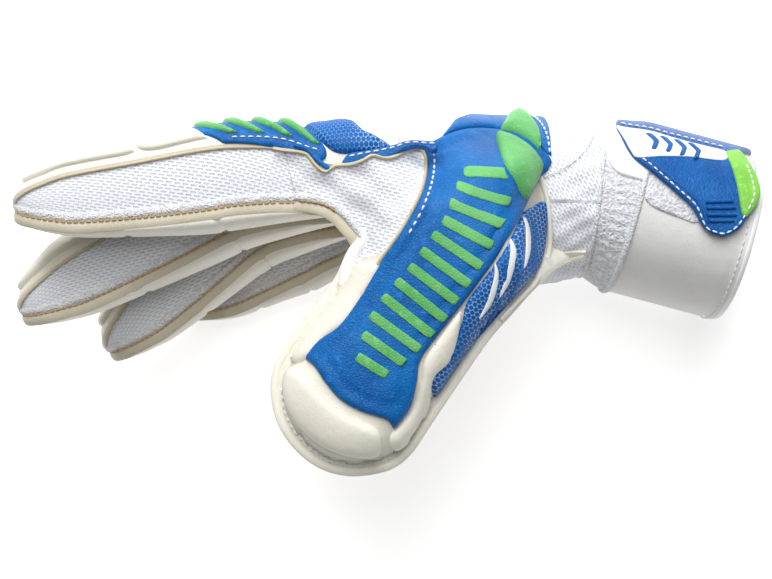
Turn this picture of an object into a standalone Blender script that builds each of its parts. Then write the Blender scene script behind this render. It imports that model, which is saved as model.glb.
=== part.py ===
"""A right-hand goalkeeper glove, empty but worn-shaped, lying on its little-finger side.

The thumb side faces up (+Z), the fingers point along -X, the back of the hand faces +Y.
Lengths are in millimetres in the tables below and turn into metres as meshes are made.
Each finger is a flat-cut tube: a padded back panel over a latex palm panel, joined by
two mesh gussets. It is cut at the knuckle and at the middle joint, where it bends.
"""
import math

import bmesh
import bpy
from mathutils import Vector

MM = 0.001
ORIGIN = Vector((2.3, -0.3, 0.0))   # the middle of the glove's footprint in the tables below
GAP = 0.4                           # clearance between sewn pieces
PANEL = 4.0                         # padded latex, palm and back
MESH = 2.0                          # gusset and sleeve fabric with its backing
PAD = 1.6                           # raised pads on top of a panel
HINGE_LIFT = 12.0                   # hinge height above the palm side of a digit
KNUCKLE_GAP = 5.0                   # each side of a knuckle hinge, room for the fabric to fold
MIDDLE_GAP = 8.0                    # each side of a middle-joint hinge

# name: lateral middle z, width, knuckle, middle joint, tip (middles of the thickness),
# half thickness at the knuckle and at the middle joint
FINGERS = {
    "index": (88.0, 27.0, (-17.9, 43.0), (-60.0, 40.6), (-127.5, 29.0), 16.0, 18.5),
    "middle": (61.0, 26.0, (-15.0, 42.0), (-60.0, 33.5), (-130.5, -7.0), 16.0, 18.0),
    "ring": (35.5, 24.0, (-12.0, 38.0), (-54.0, 27.0), (-103.8, -22.3), 15.0, 17.0),
    "little": (11.5, 23.0, (-6.0, 31.0), (-39.4, 17.0), (-77.0, -6.5), 14.0, 15.0),
}
FINGER_CROWN = 6.0                  # how far a finger's panels bulge over their seams
GUSSET_REACH = 0.72                 # the gussets stop here, where back and palm meet

THUMB_KNUCKLE = Vector((18.0, 6.0, 100.0))
THUMB_JOINT = Vector((-6.0, -28.4, 100.0))
THUMB_TIP = Vector((-27.9, -59.5, 100.0))
THUMB_WIDTH = 50.0
THUMB_HALF = 14.0
THUMB_CROWN = 4.0

HAND_FRONT = (-11.5, 3.5)           # x of the knuckle edge, thumb side and little-finger side
HAND_REAR = 55.0
WRIST_REAR = 76.5
WRIST_HINGE = Vector((82.5, 31.0, 0.0))
CUFF_START = 6.5                    # from the wrist hinge along the forearm
CUFF_LENGTH = 42.0
CUFF_TILT = math.radians(-15.0)
CUFF_HALF_HEIGHT = 31.5
CUFF_HALF_WIDTH = 39.5
CUFF_WALL = 2.5
RING_SIDES = 28

MATERIALS = {
    "cream_latex": ((0.86, 0.82, 0.70), 0.70),
    "white_mesh": ((0.88, 0.90, 0.93), 0.85),
    "blue_latex": ((0.02, 0.11, 0.42), 0.45),
    "green_latex": ((0.13, 0.53, 0.13), 0.45),
    "white_latex": ((0.90, 0.90, 0.89), 0.55),
    "white_terry": ((0.90, 0.90, 0.92), 0.95),
    "blue_rubber": ((0.02, 0.10, 0.38), 0.35),
    "white_hook": ((0.85, 0.86, 0.88), 0.80),
}

# ------------------------------------------------------------------ building blocks


def clear_scene():
    """Remove every object the file opened with."""
    for thing in list(bpy.data.objects):
        bpy.data.objects.remove(thing, do_unlink=True)


def make_material(name):
    """One Principled material from the table."""
    colour, roughness = MATERIALS[name]
    material = bpy.data.materials.new(name)
    material.use_nodes = True
    shader = material.node_tree.nodes["Principled BSDF"]
    shader.inputs["Base Color"].default_value = (*colour, 1.0)
    shader.inputs["Roughness"].default_value = roughness
    return material


def pivot(name, place, parent=None):
    """An empty on a joint's axis; place is in table millimetres."""
    empty = bpy.data.objects.new(name, None)
    bpy.context.collection.objects.link(empty)
    where = (place - ORIGIN) * MM
    empty["world"] = where
    if parent:
        empty.parent = parent
        where = where - Vector(parent["world"])
    empty.location = where
    return empty


def place_mesh(name, mesh_data, material, parent):
    """Turn a bmesh in table millimetres into one smooth object under its pivot."""
    base = ORIGIN + Vector(parent["world"]) / MM if parent else ORIGIN
    for vert in mesh_data.verts:
        vert.co = (vert.co - base) * MM
    bmesh.ops.recalc_face_normals(mesh_data, faces=mesh_data.faces)
    mesh = bpy.data.meshes.new(name)
    mesh_data.to_mesh(mesh)
    mesh_data.free()
    mesh.materials.append(make_material(material))
    mesh.shade_smooth()
    mesh.set_sharp_from_angle(angle=math.radians(50))
    thing = bpy.data.objects.new(name, mesh)
    bpy.context.collection.objects.link(thing)
    thing.parent = parent
    return thing


def slab(name, outer, inner, material, parent=None, ring=False):
    """A closed shell between two grids of points; ring closes each row on itself."""
    body = bmesh.new()
    sides = [[[body.verts.new(point) for point in row] for row in grid] for grid in (outer, inner)]
    rows = len(outer)
    columns = len(outer[0])
    steps = columns if ring else columns - 1
    for grid in sides:
        for i in range(rows - 1):
            for j in range(steps):
                k = (j + 1) % columns
                body.faces.new((grid[i][j], grid[i][k], grid[i + 1][k], grid[i + 1][j]))
    top, under = sides
    for i in (0, rows - 1):
        for j in range(steps):
            k = (j + 1) % columns
            body.faces.new((top[i][j], top[i][k], under[i][k], under[i][j]))
    if not ring:
        for j in (0, columns - 1):
            for i in range(rows - 1):
                body.faces.new((top[i][j], top[i + 1][j], under[i + 1][j], under[i][j]))
    return place_mesh(name, body, material, parent)


def mix(a, b, t):
    """From a to b by the share t."""
    return a + (b - a) * t


# ------------------------------------------------------------------ digits


class Digit:
    """A tapered flat-cut tube along a straight run, with its own side, back and length axes."""

    def __init__(self, start, end, back, width, halves, crown, tapers):
        self.start = start
        self.along = (end - start).normalized()
        self.length = (end - start).length
        self.back = (back - self.along * back.dot(self.along)).normalized()
        self.side = self.along.cross(self.back)
        self.width = width
        self.halves = halves
        self.crown = crown
        self.tapers = tapers

    def half(self, reach):
        """Half the thickness at a distance from the start."""
        u = min(reach / self.length, 1.0)
        if not self.tapers:
            return mix(*self.halves, u)
        return 3.0 + (self.halves[0] - 3.0) * math.sqrt(1 - u ** 5)

    def half_width(self, reach):
        """Half the width at a distance from the start; a tip is rounded."""
        u = min(reach / self.length, 1.0)
        if not self.tapers:
            return self.width / 2
        return self.width / 2 * math.sqrt(1 - 0.93 * u ** 5)

    def point(self, reach, across, height):
        """A point by its distance along, sideways and towards the back."""
        return self.start + self.along * reach + self.side * across + self.back * height

    def panel(self, name, sign, reaches, material, parent, lift=0.0, thickness=PANEL, share=1.0):
        """The back (sign 1) or palm (sign -1) panel, or a pad lifted off it."""
        outer = []
        inner = []
        for reach in reaches:
            half = self.half(reach)
            wide = self.half_width(reach) * share
            crown = self.crown * half / self.halves[0]
            top = []
            under = []
            for v in (-1.0, -0.55, 0.0, 0.55, 1.0):
                height = half - crown * (v * share) ** 2 + lift
                floor = max(height - thickness, GAP)
                top.append(self.point(reach, v * wide, sign * height))
                under.append(self.point(reach, v * wide, sign * floor))
            outer.append(top)
            inner.append(under)
        return slab(name, outer, inner, material, parent)

    def gusset(self, name, sign, reaches, parent):
        """The mesh strip on one side, between the back and palm panels."""
        outer = []
        inner = []
        for reach in reaches:
            half = self.half(reach)
            crown = self.crown * half / self.halves[0]
            tall = half - crown - PANEL - GAP
            edge = self.half_width(reach)
            outer.append([self.point(reach, sign * edge, tall * v) for v in (-1, 0, 1)])
            inner.append([self.point(reach, sign * (edge - MESH), tall * v) for v in (-1, 0, 1)])
        return slab(name, outer, inner, "white_mesh", parent)

    def hinge(self, reach=0.0):
        """A point on the hinge axis: low in the thickness, near the palm side."""
        return self.point(reach, 0.0, HINGE_LIFT - self.half(reach))


def spread(start, end, count):
    """Evenly spaced distances."""
    return [mix(start, end, i / (count - 1)) for i in range(count)]


def build_digit(name, base, tip):
    """Both segments of one digit, each on its own pivot; returns the base pivot."""
    knuckle = pivot(name + "_knuckle", base.hinge())
    joint = pivot(name + "_middle_joint", tip.hinge(), knuckle)
    base_run = spread(KNUCKLE_GAP, base.length - MIDDLE_GAP, 3)
    tip_run = [MIDDLE_GAP] + [tip.length * u for u in (0.3, 0.5, 0.7, 0.85, 0.94, 0.99)]
    gusset_run = spread(MIDDLE_GAP, tip.length * GUSSET_REACH, 4)
    for part, digit, run, sides, parent in (
            ("base", base, base_run, base_run, knuckle),
            ("tip", tip, tip_run, gusset_run, joint)):
        digit.panel(f"{name}_{part}_back_panel", 1, run, "cream_latex", parent)
        digit.panel(f"{name}_{part}_palm_latex", -1, run, "cream_latex", parent)
        digit.gusset(f"{name}_{part}_gusset_upper", 1, sides, parent)
        digit.gusset(f"{name}_{part}_gusset_lower", -1, sides, parent)
    return knuckle


def build_fingers():
    """The four fingers side by side; the index finger carries a ribbed pad."""
    back = Vector((0.0, 1.0, 0.0))
    for name, (z, width, knuckle, middle, tip, half_a, half_b) in FINGERS.items():
        a, b, c = (Vector((x, y, z)) for x, y in (knuckle, middle, tip))
        base = Digit(a, b, back, width, (half_a, half_b), FINGER_CROWN, False)
        end = Digit(b, c, back, width, (half_b, half_b), FINGER_CROWN, True)
        pivot_base = build_digit(name, base, end)
        if name == "index":
            run = spread(KNUCKLE_GAP + 2, base.length - MIDDLE_GAP - 2, 4)
            base.panel("index_ribbed_pad", 1, run, "blue_latex", pivot_base,
                       lift=GAP + PAD, thickness=PAD, share=0.75)


def thumb_digits():
    """The thumb's two moving segments."""
    back = Vector((0.0, 0.0, 1.0))
    halves = (THUMB_HALF, THUMB_HALF)
    base = Digit(THUMB_KNUCKLE, THUMB_JOINT, back, THUMB_WIDTH, halves, THUMB_CROWN, False)
    tip = Digit(THUMB_JOINT, THUMB_TIP, back, THUMB_WIDTH, halves, THUMB_CROWN, True)
    return base, tip


def build_thumb():
    """The moving thumb and the blue panel on its back."""
    base, tip = thumb_digits()
    pivot_base = build_digit("thumb", base, tip)
    run = spread(KNUCKLE_GAP + 1, base.length - MIDDLE_GAP - 1, 4)
    base.panel("thumb_blue_panel", 1, run, "blue_latex", pivot_base,
               lift=GAP + PAD, thickness=PAD, share=0.66)
    return base


# ------------------------------------------------------------------ hand


def hand_point(f, angle, inset=0.0):
    """A point on the hand's shell: f runs from the knuckle edge to the wrist, 0 to 1.

    The angle turns from the thumb side (+Z) through the back of the hand (+Y).
    The section is a rounded box at the knuckles and nearly an ellipse at the wrist.
    """
    power = mix(3.2, 2.3, f)
    middle_z = mix(50.5, 40.0, f)
    half_z = mix(51.0, 41.0, f) - inset
    middle_y = mix(37.0, 32.0, f)
    half_y = mix(24.0, 30.5, f) - inset
    tilt = mix(0.12, 0.0, f)
    c, s = math.cos(angle), math.sin(angle)
    scale = (abs(c) ** power + abs(s) ** power) ** (-1 / power)
    across = c * scale * half_z
    z = max(middle_z + across, inset)
    front = mix(HAND_FRONT[1], HAND_FRONT[0], min(max(z / 101.0, 0.0), 1.0))
    y = middle_y + s * scale * half_y + tilt * across
    return Vector((mix(front, HAND_REAR, f), y, z))


def hand_strip(name, start, end, material, thickness, columns=9, rows=6, reach=(0.0, 1.0)):
    """A strip of the hand's shell between two angles in degrees."""
    angles = [math.radians(a) for a in spread(start, end, columns)]
    runs = spread(*reach, rows)
    outer = [[hand_point(f, a) for a in angles] for f in runs]
    inner = [[hand_point(f, a, thickness) for a in angles] for f in runs]
    return slab(name, outer, inner, material)


def build_hand():
    """Back, palm and little-finger side of the hand; the thumb side is built on its own."""
    hand_strip("hand_back_panel", 27, 154, "blue_latex", PANEL)
    hand_strip("little_side_gusset", 155, 205, "white_mesh", MESH, columns=5)
    hand_strip("hand_palm_latex", 206, 333, "cream_latex", PANEL)


def thumb_root_point(base, up, across, height):
    """A point over the thumb's root, counted up from the knuckle and across."""
    return base.point(-up, -across, height)


def root_patch(name, base, ups, edges, heights, material, thickness, drop=4.0):
    """A curved patch over the thumb's root; heights are over the thumb's middle plane."""
    outer = []
    inner = []
    for up, (low, high), height in zip(ups, edges, heights):
        row = []
        for v in (0.0, 0.33, 0.67, 1.0):
            across = mix(low, high, v)
            fall = drop * (across / 25.0) ** 2
            row.append(thumb_root_point(base, up, across, height - fall))
        outer.append(row)
        inner.append([point - Vector((0, 0, thickness)) for point in row])
    return slab(name, outer, inner, material)


def build_thumb_root(base):
    """The fixed root of the thumb: blue panel, hexagon-textured side panel, two green pads."""
    ups = spread(KNUCKLE_GAP, 56.0, 6)
    edges = [(-19.5, 13.0), (-20.5, 13.0), (-21.5, 13.0), (-21.0, 12.5), (-17.0, 12.0), (-10.0, 8.0)]
    heights = [14.0, 13.5, 12.0, 9.5, 6.0, 1.0]
    root_patch("thumb_root_panel", base, ups, edges, heights, "blue_latex", PANEL)
    side_edges = [(high + GAP, mix(26.0, 20.0, i / 4)) for i, (_, high) in enumerate(edges[:5])]
    root_patch("thumb_side_panel", base, ups[:5], side_edges, heights[:5], "blue_latex", PANEL)
    pad_rise = GAP + PAD
    lower = [(-1.0, 3.0), (-8.0, 8.0), (-10.0, 9.0), (-9.0, 6.0)]
    upper = [(-9.0, 5.0), (-12.0, 8.0), (-11.0, 6.0)]
    root_patch("green_pad_lower", base, [17.0, 25.0, 32.0, 38.0], lower,
               [pad_rise + h for h in (13.1, 11.7, 10.6, 9.3)], "green_latex", PAD)
    root_patch("green_pad_upper", base, [41.0, 47.0, 53.0], upper,
               [pad_rise + h for h in (8.6, 6.6, 4.2)], "green_latex", PAD)


def build_web():
    """The mesh web between the thumb and the index finger."""
    thumb_edge = [(1.5, 20.5, 107.0), (8.8, 32.5, 106.5), (15.5, 43.5, 104.0), (18.5, 49.5, 101.5)]
    finger_edge = [(-9.0, 27.0, 101.5), (-9.0, 36.0, 102.5), (-8.0, 45.0, 102.0), (-6.0, 53.0, 99.5)]
    outer = []
    for v in spread(0.0, 1.0, 5):
        outer.append([Vector(b).lerp(Vector(a), v) for a, b in zip(thumb_edge, finger_edge)])
    inner = [[point - Vector((0, 0, MESH)) for point in row] for row in outer]
    slab("thumb_web_gusset", outer, inner, "white_mesh")


# ------------------------------------------------------------------ wrist, cuff and strap


def oval(angle, half_z, half_y, power=2.3):
    """A point on a rounded section as (z, y) offsets; the angle starts on the thumb side."""
    c, s = math.cos(angle), math.sin(angle)
    scale = (abs(c) ** power + abs(s) ** power) ** (-1 / power)
    return c * scale * half_z, s * scale * half_y


def sleeve_point(f, angle, inset):
    """A point on the wrist sleeve; its far edge leans half way towards the cuff's tilt."""
    dz, dy = oval(angle, 41.0 - f - inset, 30.5 - inset)
    edge = WRIST_REAR - dy * math.tan(CUFF_TILT / 2)
    return Vector((mix(HAND_REAR + GAP, edge, f), mix(32.0, 31.5, f) + dy, max(40.0 + dz, inset)))


def build_wrist():
    """The mesh sleeve of the wrist, part of the hand, and the elastic band behind it."""
    angles = [i * math.tau / RING_SIDES for i in range(RING_SIDES)]
    runs = spread(0.0, 1.0, 4)
    outer = [[sleeve_point(f, a, 0.0) for a in angles] for f in runs]
    inner = [[sleeve_point(f, a, MESH) for a in angles] for f in runs]
    slab("wrist_mesh_sleeve", outer, inner, "white_mesh", ring=True)
    band = []
    for inset in (0.6, 0.6 + MESH):
        first = [sleeve_point(1.0, a, inset) + Vector((GAP, 0, 0)) for a in angles]
        last = [cuff_point(CUFF_START - GAP, a, -inset) for a in angles]
        band.append([[a.lerp(b, t) for a, b in zip(first, last)] for t in spread(0.0, 1.0, 3)])
    slab("wrist_elastic_band", *band, "white_terry", ring=True)


def cuff_point(reach, angle, lift=0.0):
    """A point on the cuff: reach along the forearm from the hinge, lift off its surface."""
    dz, dy = oval(angle, CUFF_HALF_WIDTH + 1.5 + lift, CUFF_HALF_HEIGHT + lift)
    along = Vector((math.cos(CUFF_TILT), math.sin(CUFF_TILT), 0.0))
    up = Vector((-math.sin(CUFF_TILT), math.cos(CUFF_TILT), 0.0))
    point = WRIST_HINGE + along * reach + up * dy
    point.z = max(CUFF_HALF_WIDTH + 0.5 + dz, -lift)
    return point


def build_cuff_sleeve(wrist):
    """The latex cuff, a whole ring."""
    angles = [i * math.tau / RING_SIDES for i in range(RING_SIDES)]
    runs = spread(CUFF_START, CUFF_START + CUFF_LENGTH, 3)
    outer = [[cuff_point(r, a) for a in angles] for r in runs]
    inner = [[cuff_point(r, a, -CUFF_WALL) for a in angles] for r in runs]
    slab("cuff_sleeve", outer, inner, "white_latex", wrist, ring=True)


def cuff_wrap(name, angles, reaches, lift, thickness, material, parent):
    """A strip that wraps round the cuff; reaches gives its two edges at each angle."""
    outer = []
    inner = []
    for degrees, (low, high) in zip(angles, reaches):
        angle = math.radians(degrees)
        runs = spread(low, high, 4)
        outer.append([cuff_point(r, angle, lift) for r in runs])
        inner.append([cuff_point(r, angle, lift - thickness) for r in runs])
    return slab(name, outer, inner, material, parent)


def build_cuff():
    """Latex cuff, loop field and the closing strap with its grip."""
    wrist = pivot("wrist", WRIST_HINGE)
    build_cuff_sleeve(wrist)
    loop = 1.4
    lift = loop + GAP
    angles = spread(-8.0, 100.0, 10)
    cuff_wrap("loop_field", angles, [(9.0, 44.0)] * 10, lift, loop, "white_terry", wrist)
    anchor = [(8.0, 46.0)] * 5
    cuff_wrap("strap_anchor", spread(102.0, 145.0, 5), anchor, 2.8, 2.4, "white_latex", wrist)
    build_strap(wrist, lift)


def build_strap(wrist, loop_top):
    """The strap: it peels up about its sewn edge on the back of the cuff."""
    hook = 1.2
    flap = 2.4
    low = loop_top + GAP
    hinge = cuff_point(27.0, math.radians(99.0), low + hook + GAP)
    strap = pivot("strap", hinge, wrist)
    angles = [97.0, 80.0, 65.0, 50.0, 35.0, 20.0, 5.0, -6.0]
    lows = [8.0, 8.0, 9.0, 12.0, 17.0, 23.0, 29.0, 34.0]
    highs = [46.0, 46.0, 46.5, 47.0, 47.0, 47.0, 46.0, 43.0]
    edges = list(zip(lows, highs))
    cuff_wrap("strap_flap", angles, edges, low + hook + GAP + flap, flap, "blue_rubber", strap)
    inner_edges = [(a + 2.0, b - 2.0) for a, b in edges[1:7]]
    cuff_wrap("strap_hook_patch", angles[1:7], inner_edges, low + hook, hook, "white_hook", strap)
    grip = low + hook + 2 * GAP + flap + PAD
    grip_edges = [(31.0, 43.0), (32.0, 43.0), (35.0, 42.0)]
    cuff_wrap("strap_grip", [14.0, 6.0, -3.0], grip_edges, grip, PAD, "blue_rubber", strap)


def build():
    """The whole glove."""
    clear_scene()
    build_fingers()
    thumb_base = build_thumb()
    build_hand()
    build_thumb_root(thumb_base)
    build_web()
    build_wrist()
    build_cuff()


build()
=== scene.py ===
"""The looks of a right-hand goalkeeper glove, sewn from padded latex, mesh and terry.

Every soft piece is a closed mesh laid out on a smooth surface in millimetres: the four
fingers, the thumb side, the web, the hand, the wrist sleeve, the cuff and the strap.
Thumb side up (+Z), fingers along -X, back of the hand +Y.
"""
import math

import bmesh
import bpy
import numpy as np
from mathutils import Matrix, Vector
from mathutils.geometry import delaunay_2d_cdt


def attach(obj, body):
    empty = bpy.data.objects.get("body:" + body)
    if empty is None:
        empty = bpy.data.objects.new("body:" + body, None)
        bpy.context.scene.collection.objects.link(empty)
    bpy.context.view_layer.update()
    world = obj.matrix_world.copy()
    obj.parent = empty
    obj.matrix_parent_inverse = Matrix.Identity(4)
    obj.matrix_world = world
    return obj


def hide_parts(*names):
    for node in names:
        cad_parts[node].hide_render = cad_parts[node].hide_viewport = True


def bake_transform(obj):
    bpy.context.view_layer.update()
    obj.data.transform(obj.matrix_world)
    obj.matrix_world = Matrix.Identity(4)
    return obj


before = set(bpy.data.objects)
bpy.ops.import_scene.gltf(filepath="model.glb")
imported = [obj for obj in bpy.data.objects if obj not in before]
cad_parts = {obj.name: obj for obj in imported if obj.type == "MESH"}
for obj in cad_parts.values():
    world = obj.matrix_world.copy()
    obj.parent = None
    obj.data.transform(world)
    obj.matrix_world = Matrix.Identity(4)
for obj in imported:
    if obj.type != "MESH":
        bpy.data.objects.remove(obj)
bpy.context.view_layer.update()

MM = 0.001
ORIGIN = np.array((2.3, -0.3, 0.0))   # the frame's origin in the millimetre tables below
TINY = 1e-9                           # keeps divisions away from zero

# ------------------------------------------------------------------ sizes, in millimetres

# name: lateral middle z, width, knuckle, middle joint and tip of the spine
FINGERS = {
    "index": (88.0, 26.6, (-17.9, 43.0), (-60.0, 40.6), (-129.5, 28.7)),
    "middle": (61.0, 24.6, (-15.0, 42.0), (-60.0, 33.5), (-132.0, -8.0)),
    "ring": (35.5, 22.8, (-12.0, 38.0), (-54.0, 27.0), (-103.8, -22.3)),
    "little": (11.5, 22.2, (-6.0, 31.0), (-39.4, 17.0), (-77.0, -6.5)),
}
# share of the length, back seam, back top, palm seam, palm bottom, share of the width
FINGER_PROFILE = (
    (-0.40, -2.0, 14.0, -13.0, -17.0, 0.80),
    (-0.14, -2.0, 15.8, -13.2, -17.5, 0.98),
    (0.03, 0.6, 13.2, -13.4, -17.5, 1.00),
    (0.16, 6.6, 15.5, -12.0, -18.5, 1.00),
    (0.30, 8.2, 16.6, -12.0, -20.0, 1.00),
    (0.42, 8.1, 16.2, -12.6, -20.5, 1.00),
    (0.60, 7.6, 15.8, -11.6, -18.0, 1.00),
    (0.80, 7.3, 14.9, -9.4, -14.5, 0.98),
    (0.88, 6.1, 12.2, -7.2, -12.0, 0.93),
    (0.94, 4.6, 9.4, -4.9, -9.4, 0.82),
    (0.975, 3.0, 6.6, -3.2, -7.2, 0.62),
    (0.99, 1.8, 4.4, -2.2, -6.0, 0.42),
    (1.00, 0.8, 2.2, -1.4, -4.6, 0.14),
)
BACK_SEAM, BACK_TOP, PALM_SEAM, PALM_BOTTOM, WIDTH_SHARE = range(1, 6)   # columns of the profile
FINGER_START = -0.2                   # where a finger's pieces begin, inside the hand
FINGER_SPLIT = 0.5                    # between the two pieces, share of the proximal run
FINGER_BEND = 14.0                    # half the length over which a finger curves
HALF_ARC = 22.0                       # surface measure from the middle of a panel to its seam
ARC_LIMIT = 1.15                      # how far past its seam a panel's section is defined
GUSSET_TALL = 20.0                    # surface measure from a gusset's palm seam to its back seam
EDGE_TALL = 4.0                       # the cut edge of the palm latex
PANEL = 3.0                           # thickness of a padded panel

THUMB_KNUCKLE = np.array((18.0, 6.0, 100.0))
THUMB_JOINT = np.array((-6.0, -28.4, 100.0))
THUMB_LEVEL = 100.0                   # height of the thumb's flange
THUMB_ROLL = 15.0                     # over which the thumb's pillow rounds up from the flange
THUMB_FLANGE = 3.6                    # width of the flat flange
# the rim from the web round the thumb's tip and back to the wrist
THUMB_RIM = (
    (-12.5, 12.0), (-15.5, 5.0), (-18.9, -0.5), (-26.2, -9.8), (-33.0, -19.4), (-37.0, -26.3),
    (-38.4, -34.0), (-37.2, -42.5), (-33.7, -50.0), (-27.9, -56.6), (-20.7, -61.1),
    (-12.1, -63.0), (-3.4, -62.1), (3.0, -59.8), (8.3, -55.0), (14.1, -46.3), (21.0, -36.0),
    (32.4, -19.4), (37.8, -12.6), (44.7, -5.4), (54.4, 4.0), (62.0, 9.0), (71.0, 11.6),
)

HAND_FRONT = (-11.5, 3.5)             # x of the knuckle edge, thumb side and little side
HAND_REAR = 55.0                      # x of the wrist edge
HAND_LENGTH = 66.5                    # surface measure from the knuckle edge to the wrist edge
HAND_START = 1.0                      # where the back of the hand takes over from the fingers
HAND_RADIUS = 40.0                    # millimetres of surface measure per radian round the hand
WRIST_REAR = 76.5                     # x of the sleeve's end
WRIST_HINGE = np.array((82.5, 31.0, 0.0))
CUFF_TILT = math.radians(-15.0)
CUFF_HALF_HEIGHT = 30.5
CUFF_HALF_WIDTH = 39.5
CUFF_START = 6.5                      # from the wrist hinge along the forearm
CUFF_END = 48.5

# ------------------------------------------------------------------ lines and numbers

CURVE_STEPS = 16                      # points between two given points of a curve


def mix(a, b, t):
    """From a to b by the share t."""
    return a + (b - a) * t


def ease(t):
    """A smooth step from 0 to 1."""
    t = np.clip(t, 0.0, 1.0)
    return t * t * (3.0 - 2.0 * t)


def roll(t):
    """A quarter round from 0 to 1."""
    t = np.clip(t, 0.0, 1.0)
    return np.sqrt(1.0 - (1.0 - t) ** 2)


def unit(vectors):
    """The same directions with length one."""
    return vectors / (np.linalg.norm(vectors, axis=1)[:, None] + TINY)


def reach_along(line):
    """Distance along a line at each of its points."""
    steps = np.linalg.norm(np.diff(line, axis=0), axis=1)
    return np.concatenate([[0.0], np.cumsum(steps)])


def turned(points, angle):
    """Plane points turned about the origin."""
    c, s = math.cos(angle), math.sin(angle)
    return points @ np.array([[c, -s], [s, c]]).T


def resample(line, closed, spacing):
    """The same line with evenly spaced points."""
    if closed:
        line = np.vstack([line, line[:1]])
    steps = np.linalg.norm(np.diff(line, axis=0), axis=1)
    line = line[np.concatenate([[True], steps > TINY])]
    reach = reach_along(line)
    count = max(int(round(reach[-1] / spacing)), 2)
    at = np.linspace(0.0, reach[-1], count + 1)
    if closed:
        at = at[:-1]
    return np.column_stack([np.interp(at, reach, line[:, k]) for k in range(line.shape[1])])


def curve(points, closed=False, spacing=1.0):
    """A smooth line through a few points."""
    points = np.asarray(points, float)
    if closed:
        padded = np.vstack([points[-1:], points, points[:2]])
    else:
        padded = np.vstack([2 * points[0] - points[1], points, 2 * points[-1] - points[-2]])
    share = np.linspace(0.0, 1.0, CURVE_STEPS, endpoint=False)[:, None]
    runs = []
    for i in range(1, len(padded) - 2):
        p, q, r, s = padded[i - 1:i + 3]
        cubic = 3 * q - p - 3 * r + s
        square = 2 * p - 5 * q + 4 * r - s
        runs.append(0.5 * (2 * q + (r - p) * share + square * share ** 2 + cubic * share ** 3))
    if not closed:
        runs.append(points[-1:])
    return resample(np.vstack(runs), closed, spacing)


def outline(*strokes, spacing=1.0):
    """A closed outline; several strokes meet at sharp corners."""
    if len(strokes) == 1:
        return curve(strokes[0], True, spacing)
    runs = []
    for i, stroke in enumerate(strokes):
        following = strokes[(i + 1) % len(strokes)]
        runs.append(curve(list(stroke) + [following[0]], False, spacing)[:-1])
    return np.vstack(runs)


def distance(points, line, closed=True):
    """How far each point is from a line."""
    starts = line if closed else line[:-1]
    run = (np.roll(line, -1, axis=0) if closed else line[1:]) - starts
    size = (run ** 2).sum(1) + TINY
    away = points[:, None, :] - starts
    share = np.clip((away * run).sum(2) / size, 0.0, 1.0)
    gap = away - share[..., None] * run
    return np.sqrt((gap ** 2).sum(2)).min(1)


def inside(points, line):
    """Which points are within a closed outline."""
    x, y = points[:, 0][:, None], points[:, 1][:, None]
    ax, ay = line[:, 0], line[:, 1]
    bx, by = np.roll(ax, -1), np.roll(ay, -1)
    crosses = (ay > y) != (by > y)
    where = ax + (y - ay) * (bx - ax) / np.where(np.abs(by - ay) < TINY, TINY, by - ay)
    return ((crosses & (x < where)).sum(1) % 2) == 1


def clipped(line, half_plane):
    """The part of a closed outline where nx*x + ny*y <= limit."""
    nx, ny, limit = half_plane
    over = line[:, 0] * nx + line[:, 1] * ny - limit
    kept = []
    for i in range(len(line)):
        j = (i + 1) % len(line)
        if over[i] <= 0:
            kept.append(line[i])
        if (over[i] <= 0) != (over[j] <= 0):
            share = over[i] / (over[i] - over[j])
            kept.append(mix(line[i], line[j], share))
    return np.array(kept)


# ------------------------------------------------------------------ surfaces


class Surface:
    """A smooth surface over two measures in millimetres, with its outward side."""

    def __init__(self, place, outward=1.0):
        """place(a, c) gives the points; outward is -1 where they run the other way round."""
        self.place = place
        self.outward = outward

    def normal(self, a, c):
        """Outward direction at (a, c)."""
        step = 0.2
        along = self.place(a + step, c) - self.place(a - step, c)
        around = self.place(a, c + step) - self.place(a, c - step)
        return unit(np.cross(along, around) * self.outward)

    def raised(self, a, c, lift=0.0):
        """Points on the surface moved outward by lift."""
        lift = np.broadcast_to(lift, a.shape)[:, None]
        return self.place(a, c) + self.normal(a, c) * lift


class Zone:
    """What a piece moves with, and which side of a split it covers."""

    def __init__(self, body, second=None, start=None, end=None, keep=None):
        """start and end are where a bend would begin and end, and are not used; keep is a half
        plane, as in clipped.
        """
        self.body = body
        self.second = second
        self.start = start
        self.end = end
        self.keep = keep

    def hold(self, piece):
        """Tie a piece to its body; a piece between two bodies is only baked in place."""
        if self.second is None:
            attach(piece, self.body)
            return
        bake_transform(piece)


# ------------------------------------------------------------------ meshes


SHARP_ANGLE = math.radians(50.0)      # edges folded more than this stay sharp


def build(name, points, faces, look, zone, uv=None):
    """One smooth mesh from points in millimetres."""
    mesh = bpy.data.meshes.new(name)
    mesh.from_pydata(((points - ORIGIN) * MM).tolist(), [], faces)
    if uv is not None:
        layer = mesh.uv_layers.new(name="UVMap")
        index = np.empty(len(mesh.loops), dtype=np.int64)
        mesh.loops.foreach_get("vertex_index", index)
        layer.data.foreach_set("uv", uv[index].astype(np.float32).ravel())
    body = bmesh.new()
    body.from_mesh(mesh)
    bmesh.ops.recalc_face_normals(body, faces=body.faces)
    body.to_mesh(mesh)
    body.free()
    mesh.materials.append(LOOKS[look][0])
    mesh.shade_smooth()
    mesh.set_sharp_from_angle(angle=SHARP_ANGLE)
    piece = bpy.data.objects.new(name, mesh)
    bpy.context.collection.objects.link(piece)
    zone.hold(piece)
    return piece


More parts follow.
